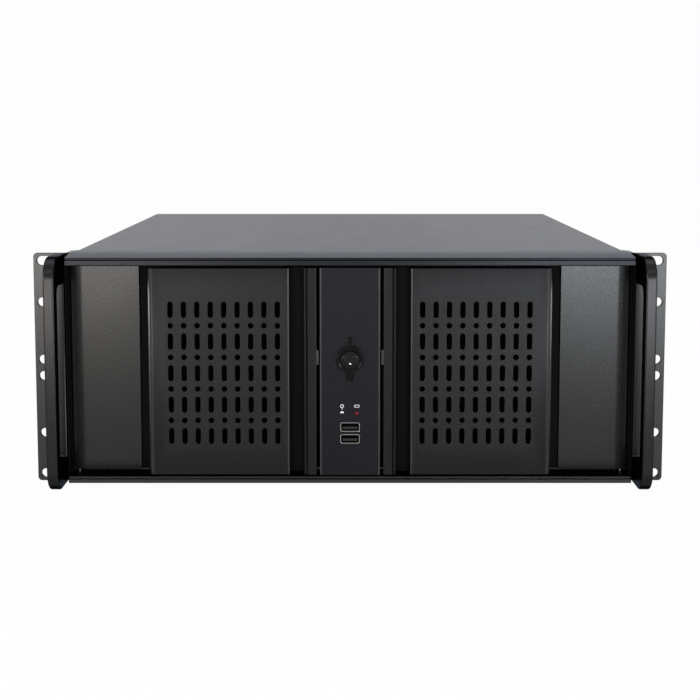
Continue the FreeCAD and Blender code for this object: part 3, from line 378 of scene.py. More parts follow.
SLOPE_DEPTH = 0.019
SLOPE_RISE = {"top_rail": 0.002, "bottom_rail": 0.0039}
GROOVE, GROOVE_DEPTH, GROOVE_DROP = 0.0013, 0.0022, 0.0006
LIP, LIP_DEPTH = 0.0009, 0.0025
LID_SEAT = 0.1748
body_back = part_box("bottom_rail")[1].y
for name, up in (("top_rail", 1), ("bottom_rail", -1)):
    low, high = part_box(name)
    line = high.z if up > 0 else low.z
    face_line = line - up * SLOPE_RISE[name]
    slope_y = low.y + SLOPE_DEPTH
    rail = block(name + "_front", (low.x, low.y, low.z), (high.x, body_back, high.z))
    edit("FACE")
    run, rise = slope_y - low.y, up * (line - face_line)
    slice_at((0, slope_y, line), (0, -rise, up * run), clear=True)
    if up < 0:
        slice_at((0, low.y + LIP_DEPTH, 0), (0, 1, 0))
        pick(lambda face: face.normal.z > 0.9 and middle_of(face).y < low.y + LIP_DEPTH)
        pull(z=LIP)
    groove = face_line - GROOVE_DROP if up > 0 else high.z
    slice_at((0, 0, groove), (0, 0, 1))
    slice_at((0, 0, groove - GROOVE), (0, 0, 1))
    pick(lambda face: face.normal.y < -0.9
         and abs(middle_of(face).z - groove + GROOVE / 2) < 0.0006)
    pull(y=GROOVE_DEPTH)
    if up > 0:
        slice_at((0, 0, LID_SEAT), (0, 0, 1))
        pick(lambda face: face.normal.y > 0.9 and middle_of(face).z > LID_SEAT)
        pull(y=high.y - body_back)
    merge()
    leave()
    soften(0.0004, 3, 25)
    place(rail, anodised if up > 0 else anodised_low_painted_light, "case", "front_aluminium", name)

# --- ears ----------------------------------------------------------------------------
# Each rack ear is a 3 mm plate with six slots for the rack's screws, folded back along
# the side wall and screwed to it. It is black anodised with a fine upright grain; the strip
# of its face at the fold, between the door and the handle, is near-black and dull as painted shade.
TURNS = ((0, math.pi / 2, 0), (math.pi / 2, 0, 0), (0, 0, 0))


def on_line(part, axis, value, reach=1e-5):
    """Whether all of an edge or face lies at one value along an axis (0 x, 1 y, 2 z)."""
    return all(abs(vert.co[axis] - value) < reach for vert in part.verts)


def loop(facing, at, low, high, radii=0.0, steps=5):
    """In edit mode: adds a rectangle square to an axis (0 x, 1 y, 2 z), its corners rounded
    alike or, in the order low-low, high-low, high-high, low-high, each by its own radius."""
    first, second = [a for a in range(3) if a != facing]
    middle, size = [0, 0, 0], [1, 1, 1]
    middle[facing] = at
    middle[first], middle[second] = (low[0] + high[0]) / 2, (low[1] + high[1]) / 2
    size[first], size[second] = high[0] - low[0], high[1] - low[1]
    bpy.ops.mesh.select_mode(type="VERT")
    bpy.ops.mesh.select_all(action="DESELECT")
    bpy.ops.mesh.primitive_plane_add(size=1, location=middle, rotation=TURNS[facing])
    bpy.ops.transform.resize(value=size, center_override=middle)
    if not isinstance(radii, tuple):
        radii = (radii,) * 4
    ends = ((low[0], low[1]), (high[0], low[1]), (high[0], high[1]), (low[0], high[1]))
    for radius, (a, b) in zip(radii, ends):
        if radius:
            corner = Vector(middle)
            corner[first], corner[second] = a, b
            pick(lambda vert: (vert.co - corner).length < 1e-5)
            bpy.ops.mesh.bevel(offset=radius, segments=steps, affect="VERTICES")


def board(name):
    """Starts an empty drawing: a piece with no faces, in edit mode."""
    piece = start(name, bpy.ops.mesh.primitive_plane_add, size=1)
    edit()
    bpy.ops.mesh.delete(type="VERT")
    return piece


def face_outward():
    """In edit mode: turns all faces outward."""
    bpy.ops.mesh.select_all(action="SELECT")
    bpy.ops.mesh.normals_make_consistent(inside=False)


def fill_in(x=0, y=0, z=0):
    """In edit mode: fills a drawing between its outline and its holes, and gives it depth."""
    bpy.ops.mesh.select_all(action="SELECT")
    bpy.ops.mesh.delete(type="ONLY_FACE")
    bpy.ops.mesh.select_all(action="SELECT")
    bpy.ops.mesh.remove_doubles(threshold=1e-5)
    bpy.ops.mesh.fill()
    bpy.ops.mesh.dissolve_limited(angle_limit=0.01)
    if x or y or z:
        pull(x, y, z)
    face_outward()


def choose(pieces):
    """Selects pieces alone, with the first of them active."""
    bpy.ops.object.select_all(action="DESELECT")
    for piece in pieces:
        piece.select_set(True)
    bpy.context.view_layer.objects.active = pieces[0]


def other_side(piece, name):
    """The same piece for the left side, mirrored, with its own mesh."""
    choose([piece])
    bpy.ops.object.duplicate()
    copy = bpy.context.object
    copy.name = name
    copy.scale = (-1, 1, 1)
    settle()
    edit()
    face_outward()
    leave()
    return copy


ear_black = coat("ear_black", (0.0075, 0.0067, 0.006), rough=0.29, grain=900, shade=0.3,
                 bump=0.14, stretch=(1, 1, 0.3), level=0.33)
# Near-black and dull: painted shade on the ear's strip between the door and the handle.
ear_painted_shade = coat("ear_painted_shade", (0.0016, 0.0016, 0.0016), rough=0.5, grain=900, shade=0.2, bump=0.1,
                level=0.04)
EAR_SHEET = 0.003
RACK_SLOTS = (0.00635, 0.0381, 0.08255, 0.09525, 0.1397, 0.17145)
SLOT_EDGE, SLOT_HALF, SLOT_RADIUS = 0.00875, 0.006, 0.0035
EAR_CORNER = 0.003
FLANGE, SHORT_FLANGE, FLANGE_TOP = 0.025, 0.017, 0.158
low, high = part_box("right_ear")
slot_x = high.x - SLOT_EDGE
ear = board("ear_right")
loop(1, 0, (low.x, low.z), (high.x, high.z), (0, EAR_CORNER, EAR_CORNER, 0))
for z in RACK_SLOTS:  # the corners stay a hair apart, so that no two points meet
    loop(1, 0, (slot_x - SLOT_HALF, z - SLOT_RADIUS), (slot_x + SLOT_HALF, z + SLOT_RADIUS),
         SLOT_RADIUS - 0.00001)
fill_in(y=EAR_SHEET)
slice_at((low.x + EAR_SHEET, 0, 0), (1, 0, 0))
bpy.ops.mesh.select_mode(type="FACE")
pick(lambda face: face.normal.y > 0.9 and middle_of(face).x < low.x + EAR_SHEET)
pull(y=SHORT_FLANGE)
slice_at((0, 0, FLANGE_TOP), (0, 0, 1))
pick(lambda face: face.normal.y > 0.9 and middle_of(face).z < FLANGE_TOP
     and middle_of(face).y > EAR_SHEET + SHORT_FLANGE - 0.0001)
pull(y=FLANGE)
leave()
soften(0.0004, 2)
ear_left = other_side(ear, "ear_left")
for piece, node in ((ear, "right_ear"), (ear_left, "left_ear")):
    place(piece, ear_black, "case", "front_aluminium", node)
    # The front strip at the fold gets the painted shade finish.
    piece.data.materials.append(ear_painted_shade)
    for face in piece.data.polygons:
        face.material_index = int(abs(face.center.x) < low.x + EAR_SHEET
                                  and face.center.y < EAR_SHEET + 0.001)

# --- handles -------------------------------------------------------------------------
# A closed D of aluminium bar stands on each ear, its front corners in a wide curve and
# its edges rounded for the hand; black anodised, screwed on from behind the ear.
handle_black = coat("handle_black", (0.0195, 0.019, 0.019), rough=0.30, grain=900, shade=0.2,
                    bump=0.08, stretch=(1, 1, 0.1), metal=1.0, edge=(0.3, 0.32, 0.36))
GRIP_BAR, FOOT_BAR, TOP_BAR, EAR_BAR = 0.0114, 0.0194, 0.0224, 0.004
OUTER_CURVE, INNER_CURVE = 0.016, 0.007
low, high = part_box("right_handle")
handle = board("handle_right")
loop(0, low.x, (low.y, low.z), (high.y, high.z), (OUTER_CURVE, 0, 0, OUTER_CURVE), 10)
loop(0, low.x, (low.y + GRIP_BAR, low.z + FOOT_BAR), (high.y - EAR_BAR, high.z - TOP_BAR),
     (INNER_CURVE, 0, 0, INNER_CURVE), 8)
fill_in(x=high.x - low.x)
leave()
soften(0.0013, 4)
handle_left = other_side(handle, "handle_left")
place(handle, handle_black, "case", "front_aluminium", "right_handle")
place(handle_left, handle_black, "case", "front_aluminium", "left_handle")

# --- vent panels ---------------------------------------------------------------------
# The raised front of each door is a 1.5 mm aluminium pan, black with a coarse grain, with
# rows of round-ended slots and round holes punched in it. It is folded back all round,
# deeper where the grip strip doesn't lie behind it.
door_colour = (0.0034, 0.0034, 0.004)
door_black = coat("door_black", door_colour, rough=0.34, grain=900, shade=0.4, bump=0.9,
                  level=0.16)
# A more reflective copy for the slanting faces of the folds: painted highlight.
door_fold_highlight = coat("door_fold_highlight", door_colour, rough=0.34, grain=900, shade=0.4, bump=0.3,
                 level=0.36)


def ring(facing, at, centre, radius, steps=24):
    """In edit mode: adds a circle of edges square to an axis."""
    middle = list(centre)
    middle.insert(facing, at)
    bpy.ops.mesh.select_all(action="DESELECT")
    bpy.ops.mesh.primitive_circle_add(vertices=steps, radius=radius, location=middle,
                                      rotation=TURNS[facing])


def join(pieces):
    """Joins pieces into the first of them."""
    choose(pieces)
    bpy.ops.object.join()
    return pieces[0]


def repeat(count, step):
    """Repeats the active piece in a row."""
    rows = bpy.context.object.modifiers.new("row", "ARRAY")
    rows.use_relative_offset, rows.use_constant_offset = False, True
    rows.count, rows.constant_offset_displace = count, step
    bpy.ops.object.modifier_apply(modifier=rows.name)


def shave(x, way):
    """In edit mode: shaves the upright front edge from a place across, at about 16 degrees."""
    front = min(vert.co.y for vert in bmesh.from_edit_mesh(bpy.context.object.data).verts)
    slice_at((x, front, 0), (way * 0.28, -0.96, 0), clear=True)
    bpy.ops.mesh.mark_sharp()


def highlight_slants(pieces, paint):
    """The front faces that slant to a side get a more reflective finish: a painted highlight."""
    for piece in pieces:
        piece.data.materials.append(paint)
        for face in piece.data.polygons:
            if face.normal.y < -0.4 and abs(face.normal.x) > 0.12:
                face.material_index = len(piece.data.materials) - 1


VENT_SKIN = 0.0015
COLUMNS, ROWS = 9, 5
SLOT_WIDE, SLOT_TALL, SLOT_EASE, SLOT_END = 0.0037, 0.0124, 0.0002, 0.00204
HOLE_RADIUS = 0.0022
FIELD_IN, FIELD_OUT, FIELD_LOW, FIELD_HIGH = 0.00685, 0.01555, 0.0238, 0.0252
BARE_SIDE = 0.006
GRIP_FLANGE, GRIP_GAP = 0.002, 0.002
SIDE_FOLD, RIM_FOLD, INNER_FACET = 0.004, 0.0007, 0.0011
low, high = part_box("right_door_vent_panel")
grip_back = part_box("right_door_carrier")[0].y - GRIP_FLANGE
across = (high.x - FIELD_OUT - low.x - FIELD_IN - SLOT_WIDE) / (COLUMNS - 1)
upward = (high.z - FIELD_HIGH - low.z - FIELD_LOW - SLOT_TALL) / (ROWS - 1)
first_x = low.x + FIELD_IN
first_z = low.z + FIELD_LOW
slots = board("slots")
loop(1, low.y, (first_x - SLOT_EASE, first_z),
     (first_x + SLOT_WIDE + SLOT_EASE, first_z + SLOT_TALL), SLOT_END, 4)
leave()
repeat(COLUMNS, (across, 0, 0))
repeat(ROWS, (0, 0, upward))
holes = board("holes")
ring(1, low.y, (first_x + SLOT_WIDE / 2, first_z + SLOT_TALL / 2 + upward / 2), HOLE_RADIUS, 14)
leave()
repeat(COLUMNS, (across, 0, 0))
repeat(ROWS - 1, (0, 0, upward))
vents = board("vents_right")
loop(1, low.y, (low.x, low.z), (high.x - BARE_SIDE, high.z))
leave()
vents = join([vents, slots, holes])
edit()
fill_in()
if bmesh.from_edit_mesh(vents.data).faces[0].normal.y > 0:
    bpy.ops.mesh.flip_normals()
bpy.ops.mesh.select_mode(type="EDGE")
pick(lambda edge: on_line(edge, 0, high.x - BARE_SIDE))
pull(x=BARE_SIDE)
pick(lambda edge: on_line(edge, 0, low.x) or on_line(edge, 0, high.x)
     or on_line(edge, 2, low.z) or on_line(edge, 2, high.z))
pull(y=grip_back - low.y)
step_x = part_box("right_door_grip")[1].x + GRIP_GAP
slice_at((step_x, 0, 0), (1, 0, 0))
pick(lambda edge: on_line(edge, 1, grip_back) and all(v.co.x > step_x - 1e-5 for v in edge.verts))
pull(y=high.y - grip_back)
face_outward()
pick(lambda edge: on_line(edge, 1, low.y) and on_line(edge, 0, high.x))
bpy.ops.mesh.bevel(offset=SIDE_FOLD, segments=6)
pick(lambda edge: len(edge.link_faces) == 2 and edge.calc_face_angle() > 1
     and not (on_line(edge, 0, low.x) and on_line(edge, 1, low.y))
     and middle_of(edge).x < high.x - 0.0001)
bpy.ops.mesh.bevel(offset=RIM_FOLD, segments=3)
leave()
thicken(VENT_SKIN)
edit()
shave(low.x + INNER_FACET, -1)
leave()
soften(0.00012, 2)
vents_left = other_side(vents, "vents_left")
place(vents, door_black, "right_door", "front_aluminium", "right_door_vent_panel")
place(vents_left, door_black, "left_door", "front_aluminium", "left_door_vent_panel")
highlight_slants((vents, vents_left), door_fold_highlight)

# --- door grips ----------------------------------------------------------------------
# An extruded aluminium strip closes each door towards the middle. It has a fine groove
# along its face, the groove for the lock's cam behind, and the floor of the finger recess
# beside it. It is black anodised, darker and duller in the recess as painted shade.
grip_black = coat("grip_black", (0.003, 0.003, 0.0037), rough=0.34, grain=900, shade=0.16,
                  bump=0.2, stretch=(1, 1, 0.2), level=0.14)
# Darker and duller than the grip: painted shade in the finger recess.
recess_painted_shade = coat("recess_painted_shade", (0.0016, 0.0016, 0.0016), rough=0.45, grain=900, shade=0.2,
                    bump=0.1, level=0.035)
RECESS_WIDE, WEB, GRIP_SKIN = 0.0113, 0.0015, 0.002
FINE_SIDES, FINE_DEPTH = (0.0027, 0.0013), 0.0008
OUTER_FACET, LINE_FACET = 0.001, 0.0009
low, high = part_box("right_door_grip")
vent_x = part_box("right_door_vent_panel")[0].x
web_x1 = vent_x - RECESS_WIDE
web_x0 = web_x1 - WEB
grip = block("grip_right", low, (web_x1, low.y + GRIP_SKIN, high.z))
edit("FACE")
slice_at((web_x0, 0, 0), (1, 0, 0))
pick(lambda face: face.normal.y > 0.9 and middle_of(face).x > web_x0)
pull(y=grip_back - low.y - GRIP_SKIN)
pull(y=high.y - grip_back)
pick(lambda face: face.normal.x > 0.9 and middle_of(face).y > grip_back)
pull(x=high.x - web_x1)
pick(lambda face: face.normal.x < -0.9 and middle_of(face).y > grip_back)
pull(x=low.x - web_x0)
fine = [web_x1 - side for side in FINE_SIDES]
shave(low.x + OUTER_FACET, -1)
shave(fine[0] - LINE_FACET, 1)
for x in fine:
    slice_at((x, 0, 0), (1, 0, 0))
pick(lambda face: face.normal.y < -0.9 and middle_of(face).y < low.y + 0.001
     and fine[0] < middle_of(face).x < fine[1])
pull(y=FINE_DEPTH)
merge()
leave()
soften(0.00018, 2)
grip_left = other_side(grip, "grip_left")
for piece, door in ((grip, "right_door"), (grip_left, "left_door")):
    place(piece, grip_black, door, "front_aluminium", door + "_grip")
    # The faces behind the front get the painted shade finish.
    piece.data.materials.append(recess_painted_shade)
    for face in piece.data.polygons:
        face.material_index = int(face.center.y > low.y + FINE_DEPTH + 0.00035)

# --- side plates ---------------------------------------------------------------------
# The recessed outer plate of each door is aluminium with a fine upright grain, thick along
# the edge where the hinge pins are pressed in and rolled back there, so that it can turn.
side_black = coat("side_black", (0.003, 0.0028, 0.0025), rough=0.27, grain=900, shade=0.35,
                  bump=0.13, stretch=(1, 1, 0.5), level=0.25)
PLATE = 0.0025
ROLL, ROLL_RADIUS, ROLL_STEPS = 0.012, 0.085, 5
low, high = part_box("right_door_side_plate")
post_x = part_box("right_door_carrier")[1].x
side = block("side_right", low, (high.x, low.y + PLATE, high.z))
edit("FACE")
slice_at((post_x, 0, 0), (1, 0, 0))
pick(lambda face: face.normal.y > 0.9 and middle_of(face).x > post_x)
pull(y=high.y - low.y - PLATE)
for step in range(ROLL_STEPS):
    slice_at((high.x - ROLL + ROLL * step / ROLL_STEPS, 0, 0), (1, 0, 0))
bpy.ops.mesh.select_mode(type="VERT")
for step in range(1, ROLL_STEPS + 1):
    out = ROLL * step / ROLL_STEPS
    pick(lambda vert: abs(vert.co.x - high.x + ROLL - out) < 1e-5
         and abs(vert.co.y - low.y) < 1e-6)
    back = ROLL_RADIUS - math.sqrt(ROLL_RADIUS ** 2 - out ** 2)
    bpy.ops.transform.translate(value=(0, back, 0))
leave()
soften(0.0003, 2)
side_left = other_side(side, "side_left")
place(side, side_black, "right_door", "front_aluminium", "right_door_side_plate")
place(side_left, side_black, "left_door", "front_aluminium", "left_door_side_plate")

# --- door sheets and centre column ---------------------------------------------------
# Behind the fronts a folded black sheet carries each door, and a folded steel column
# between the doors carries the centre plate; both are coated matt black, made near-black
# and almost unreflecting as painted shade in the channels beside the doors' fronts.
black_steel = coat("black_steel", (0.0022, 0.0022, 0.0024), rough=0.55, grain=1200, shade=0.2,
                   bump=0.15, level=0.04)
dress(black_steel, "left_door_carrier", "right_door_carrier", "centre_column")

# --- hinge pins ----------------------------------------------------------------------
# Bright steel pins are pressed into the side plates and stand out of the door's ends into
# the rails.
pin_steel = coat("pin_steel", (0.62, 0.62, 0.6), rough=0.22, grain=900, shade=0.1, bump=0.03,
                 metal=1.0)
dress(pin_steel, "left_door_pins", "right_door_pins")

# --- dust filters --------------------------------------------------------------------
# A pad of open black foam lies behind the vents of each door and keeps dust out. The
# folded sheet behind it holds it.
foam = Paint(bpy.data.materials.new("filter_foam"))
cells = foam.node("ShaderNodeTexVoronoi", {"feature": "DISTANCE_TO_EDGE"},
                  {"Vector": coords(foam, (1, 1, 1)), "Scale": 900.0}, 0)
shader = foam.tree.nodes["Principled BSDF"]
shader.inputs["Specular IOR Level"].default_value = 0.08
foam.feed(shader.inputs["Base Color"],
          blend(foam, cells * 3, (0.0012, 0.0012, 0.0012), (0.006, 0.006, 0.0063)))
foam.feed(shader.inputs["Normal"], foam.node("ShaderNodeBump", {"invert": True}, {
    "Strength": 0.9, "Distance": 0.0006, "Height": cells}))
foam.feed(shader.inputs["Roughness"], 0.95 - cells * 0.3)
dress(foam.owner, "left_door_filter", "right_door_filter")

# --- strikes -------------------------------------------------------------------------
# A small bright tab, stamped from sheet metal, is riveted to the closing edge of each
# door, level with the lock.
# Its metal colour is far darker than bright steel: painted shade of the narrow gap it sits in.
strike_metal = coat("strike_metal", (0.05, 0.05, 0.05), rough=0.22, grain=1500, shade=0.15,
                    bump=0.05, stretch=(1, 1, 0.1), metal=0.95)
low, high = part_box("right_door_strike")
strike = block("strike_right", low, high)
edit("EDGE")
pick(lambda edge: on_line(edge, 1, low.y, 1e-6) and on_line(edge, 0, low.x, 1e-6))
bpy.ops.mesh.bevel(offset=0.0006, segments=4)
leave()
soften(0.00015, 2)
strike_left = other_side(strike, "strike_left")
place(strike, strike_metal, "right_door", "strike_metal", "right_door_strike")
place(strike_left, strike_metal, "left_door", "strike_metal", "left_door_strike")

# --- centre plate --------------------------------------------------------------------
# A 3 mm aluminium plate between the doors carries the lock, the lights and the ports. It
# has a fine upright grain and is screwed to the column from behind.
centre_colour = (0.0027, 0.0024, 0.0042)
centre_black = coat("centre_black", centre_colour, rough=0.35, grain=900, shade=0.35, bump=0.9,
                    stretch=(1, 1, 0.7), level=0.12, edge=(0.97, 0.93, 1))
# A more reflective copy for the faceted edges: painted highlight.
centre_edge_highlight = coat("centre_edge_highlight", centre_colour, rough=0.35, grain=900, shade=0.35, bump=0.3,
                   level=0.45)
EDGE_FACET = 0.0012
PORT_HOLE, LOCK_HOLE, LIGHT_HOLE = (0.0067, 0.003), 0.007, 0.00155
PORT_HALF = 0.00355
low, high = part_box("centre_panel")
plate_y = low.y
lock_low, lock_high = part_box("lock_housing")
port_low, port_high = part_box("usb_ports")
lock_z = (lock_low.z + lock_high.z) / 2
port_zs = (port_low.z + PORT_HALF, port_high.z - PORT_HALF)
lights = [(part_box(n)[0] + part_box(n)[1]) / 2 for n in ("power_light", "drive_light")]
centre = board("centre_plate")
loop(1, low.y, (low.x, low.z), (high.x, high.z))
for z in port_zs:
    loop(1, low.y, (-PORT_HOLE[0], z - PORT_HOLE[1]), (PORT_HOLE[0], z + PORT_HOLE[1]), 0.0006, 3)
ring(1, low.y, (0, lock_z), LOCK_HOLE, 40)
for light in lights:
    ring(1, low.y, (light.x, light.z), LIGHT_HOLE, 20)
fill_in(y=high.y - low.y)
shave(low.x + EDGE_FACET, -1)
shave(high.x - EDGE_FACET, 1)
leave()
soften(0.0002, 2)
place(centre, centre_black, "case", "front_aluminium", "centre_panel")
# The edge facets get the painted highlight finish.
highlight_slants([centre], centre_edge_highlight)

# --- lock ----------------------------------------------------------------------------
# A dark cast ring with a flared lug above and below turns round the key cylinder. The
# housing tube behind it stays in the plate.
lock_metal = coat("lock_metal", (0.0012, 0.0012, 0.0014), rough=0.12, grain=1100, shade=0.2,
                  bump=0.03, level=0.13)


def cylinder(name, middle, radius, depth, facing=1, sides=64):
    """A cylinder along an axis, with its place in its mesh."""
    piece = start(name, bpy.ops.mesh.primitive_cylinder_add, vertices=sides, radius=radius,
                  depth=depth, location=middle, rotation=TURNS[facing])
    settle()
    return piece


MOUTH, BORE = 0.0079, 0.0064
LUG_HALF, LUG_THICK, LUG_FLARE = 0.0025, 0.0018, 2.56
NECK, LUG_FOOT = 0.001, 0.0041
low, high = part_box("lock_knob")
radius, front = high.x, low.y
knob = cylinder("lock_ring", (0, (low.y + high.y) / 2, lock_z), radius, high.y - low.y, sides=72)
# The mouth sinks in by a small step, and a bore goes through to the back.
edit("FACE")
pick(lambda face: face.normal.y < -0.9)
bpy.ops.mesh.inset(thickness=radius - MOUTH, depth=0)
bpy.ops.mesh.inset(thickness=0.0004, depth=-0.0009)
bpy.ops.mesh.inset(thickness=0.0011, depth=0)
pick(lambda face: face.normal.y > 0.9)
bpy.ops.mesh.inset(thickness=radius - BORE, depth=0)
pick(lambda face: abs(face.normal.y) > 0.9
     and (middle_of(face) - Vector((0, middle_of(face).y, lock_z))).length < 1e-4)
bpy.ops.mesh.bridge_edge_loops()
bpy.ops.mesh.select_mode(type="EDGE")
pick(lambda edge: on_line(edge, 1, front, 1e-6) and all(
    abs(math.hypot(v.co.x, v.co.z - lock_z) - MOUTH) < 1e-5 for v in edge.verts))
bpy.ops.mesh.bevel(offset=0.0008, segments=5)
leave()
soften(0.0002, 2, 25)
neck_z = lock_z + radius + NECK
lug = block("lug", (-LUG_HALF, high.y - LUG_THICK, neck_z), (LUG_HALF, high.y, high.z))
edit("FACE")
pick(lambda face: face.normal.z < -0.9)
pull(z=-LUG_FOOT)
bpy.ops.transform.resize(value=(LUG_FLARE, 1, 1), center_override=(0, high.y, lock_z))
bpy.ops.mesh.select_mode(type="EDGE")
for z, width, steps in ((high.z, 0.0009, 3), (neck_z, 0.0016, 4)):
    pick(lambda edge: abs(middle_of(edge).z - z) < 1e-5
         and abs(abs(middle_of(edge).x) - LUG_HALF) < 1e-5)
    bpy.ops.mesh.bevel(offset=width, segments=steps)
leave()
bpy.ops.object.duplicate()
lower = bpy.context.object
edit()
bpy.ops.transform.resize(value=(1, 1, -1), center_override=(0, 0, lock_z))
leave()
lug = join([lug, lower])
soften(0.0007, 4)
join([knob, lug])
place(knob, lock_metal, "lock", "lock_metal", "lock_knob")
dress(lock_metal, "lock_housing")

# --- key cylinder --------------------------------------------------------------------
# The lock's core is a polished cylinder with a sunken face and an upright key slot. A
# bright steel wafer shows in the lower end of the slot. Both turn with the ring.
core_metal = coat("core_metal", (0.0015, 0.0015, 0.0018), rough=0.16, grain=1600, shade=0.2,
                  bump=0.03, level=0.22)
HEAD, HEAD_RADIUS = 0.0031, 0.00635
KEY_HALF, KEY_TALL = 0.0007, 0.0035
low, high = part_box("lock_cylinder")
core = cylinder("key_cylinder", (0, low.y + HEAD / 2, lock_z), HEAD_RADIUS, HEAD)
# The head has a rounded rim and a fine sunken ring, and a thinner stem behind it.
edit("FACE")
pick(lambda face: face.normal.y < -0.9)
bpy.ops.mesh.bevel(offset=0.0007, segments=5)
pick(lambda face: face.normal.y < -0.999)
bpy.ops.mesh.inset(thickness=0.0004, depth=0)
bpy.ops.mesh.inset(thickness=0.0003, depth=-0.0005)
bpy.ops.mesh.inset(thickness=0.0003, depth=0.0004)
pick(lambda face: face.normal.y > 0.9)
bpy.ops.mesh.inset(thickness=0.00135, depth=0)
pull(y=high.y - low.y - HEAD)
leave()
key = board("key")
loop(1, low.y - 0.001, (-KEY_HALF, lock_z - KEY_TALL), (KEY_HALF, lock_z + KEY_TALL),
     0.00045, 3)
fill_in(y=0.003)
leave()
slot_cut = core.modifiers.new("key", "BOOLEAN")
slot_cut.object, slot_cut.operation = key, "DIFFERENCE"
choose([core])
bpy.ops.object.modifier_apply(modifier=slot_cut.name)
bpy.data.objects.remove(key)
soften(0.00012, 2)
place(core, core_metal, "lock", "lock_metal", "lock_cylinder")
wafer_y, wafer_z = low.y + 0.0004, lock_z - 0.0021
wafer = block("key_wafer", (-0.0006, wafer_y, lock_z - 0.0034), (0.0006, low.y + 0.0019, wafer_z))
edit("EDGE")
pick(lambda edge: on_line(edge, 1, wafer_y, 1e-6) and on_line(edge, 2, wafer_z))
bpy.ops.mesh.bevel(offset=0.0005, segments=3)
leave()
soften(0.00012, 2)
place(wafer, pin_steel, "lock", "lock_metal")

# --- ports ---------------------------------------------------------------------------
# Two stamped metal receptacle shells show their thin flanges on the plate. Each holds a
# dark contact tongue; its walls and back inside are near-black, painted shade of the opening.
port_metal = coat("port_shell", (0.29, 0.28, 0.262), rough=0.2, grain=900, shade=0.2, bump=0.03,
                  metal=0.95, cloud=160)
# Near-black linings and backs inside the shells: painted shade of the openings.
port_painted_shade = coat("port_painted_shade", (0.003, 0.003, 0.003), rough=0.4, grain=900, shade=0.2,
                    bump=0.05, level=0.08)
tongue_plastic = coat("port_tongue", (0.008, 0.008, 0.0083), rough=0.45, grain=900, shade=0.35,
                      bump=0.1, level=0.2, stretch=(1, 1, 0.1))


def frame_of(name, front, z, depth, *outlines):
    """A flat ring round a port: rounded rectangles, each by its half width, half height, corner
    radius and corner steps, filled between and given depth."""
    piece = board(name)
    for wide, tall, rounding, steps in outlines:
        loop(1, front, (-wide, z - tall), (wide, z + tall), rounding, steps)
    fill_in(y=depth)
    leave()
    return piece


RIM_OUTLINES = ((0.00735, PORT_HALF, 0.0014, 6), (0.00685, 0.00305, 0.0010, 6))
LINING_OUTLINES = ((0.00686, 0.00306, 0.0010, 6), (0.00625, 0.00255, 0.0006, 4))
RIM_DEPTH, LINING_SUNK = 0.0006, 0.00035
lining_depth = port_high.y - port_low.y - LINING_SUNK
rims, shade_linings = [], []
for z in port_zs:
    rims.append(frame_of("port_rims", port_low.y, z, RIM_DEPTH, *RIM_OUTLINES))
    shade_linings.append(frame_of("port_shade_linings", port_low.y + LINING_SUNK, z, lining_depth,
                            *LINING_OUTLINES))
    shade_linings.append(block("port_shade_backs", (-0.0064, port_high.y - 0.0006, z - 0.0027),
                         (0.0064, port_high.y - 0.0001, z + 0.0027)))
rims, shade_linings = join(rims), join(shade_linings)
soften(0.0001, 2)
choose([rims])
soften(0.00018, 3)
place(rims, port_metal, "case", "port_shell", "usb_ports")
place(shade_linings, port_painted_shade, "case", "port_shell")
dress(tongue_plastic, "usb_tongues")

# --- lights --------------------------------------------------------------------------
# Two round plastic lenses sit flush in the plate: a milky one, its upper half painted white
# as a painted highlight, and a dark red one, brightest in its middle.
LENS_RADIUS = 0.0015
for node, light, slot, bright, dark in (
        ("power_light", lights[0], "white_light", (0.72, 0.72, 0.71), (0.012, 0.012, 0.013)),
        ("drive_light", lights[1], "red_light", (0.22, 0.024, 0.03), (0.045, 0.003, 0.005))):
    low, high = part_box(node)
    lens = cylinder(node + "_lens", (light.x, (low.y + high.y) / 2, light.z), LENS_RADIUS,
                    high.y - low.y, sides=32)
    edit("FACE")
    pick(lambda face: face.normal.y < -0.9)
    bpy.ops.mesh.bevel(offset=0.0005, segments=4)
    leave()
    bpy.ops.object.shade_smooth_by_angle(angle=math.radians(40))
    plastic = Paint(bpy.data.materials.new(node))
    shader = plastic.tree.nodes["Principled BSDF"]
    where = coords(plastic, (1, 1, 1))
    # The milky lens is white above its middle and dark below: a painted highlight.
    if node == "power_light":
        height = plastic.node("ShaderNodeSeparateXYZ", sockets={0: where}, output=2)
        mask = (light.z + 0.0002 - height) * 4000
    else:
        mask = plastic.node("ShaderNodeVectorMath", {"operation": "DISTANCE"}, {
            0: where, 1: (light.x, low.y, light.z)}, 1) * 520
    plastic.feed(shader.inputs["Base Color"],
                 blend(plastic, mask + noise(plastic, [900] * 3) * 0.2, bright, dark))
    plastic.feed(shader.inputs["Roughness"], 0.3 + noise(plastic, [700] * 3) * 0.1)
    shader.inputs["Specular IOR Level"].default_value = 0.06
    place(lens, plastic.owner, "case", slot, node)

# --- signs over the lights -----------------------------------------------------------
# Over each light a small sign is printed on the plate in white: a lamp with its foot, and
# a flat disk.
print_white = coat("print_white", (0.5, 0.5, 0.5), rough=0.6, grain=2500, shade=0.08, bump=0.05)
PRINT = 0.00004
sign_z = lights[0].z + 0.0054
lamp_x, disk_x = lights[0].x, lights[1].x
sign = board("lamp_sign")
for radius in (0.00145, 0.0008):
    ring(1, plate_y, (lamp_x, sign_z), radius, 28)
fill_in(y=-PRINT)
loop(1, plate_y, (lamp_x - 0.0003, sign_z - 0.0024), (lamp_x + 0.0003, sign_z - 0.0014))
pull(y=-PRINT)
face_outward()
leave()
place(sign, print_white, "case", "white_light")
sign = board("disk_sign")
for wide, tall, rounding in ((0.0021, 0.0011, 0.00105), (0.0016, 0.00055, 0.00053)):
    loop(1, plate_y, (disk_x - wide, sign_z - tall), (disk_x + wide, sign_z + tall), rounding, 7)
fill_in(y=-PRINT)
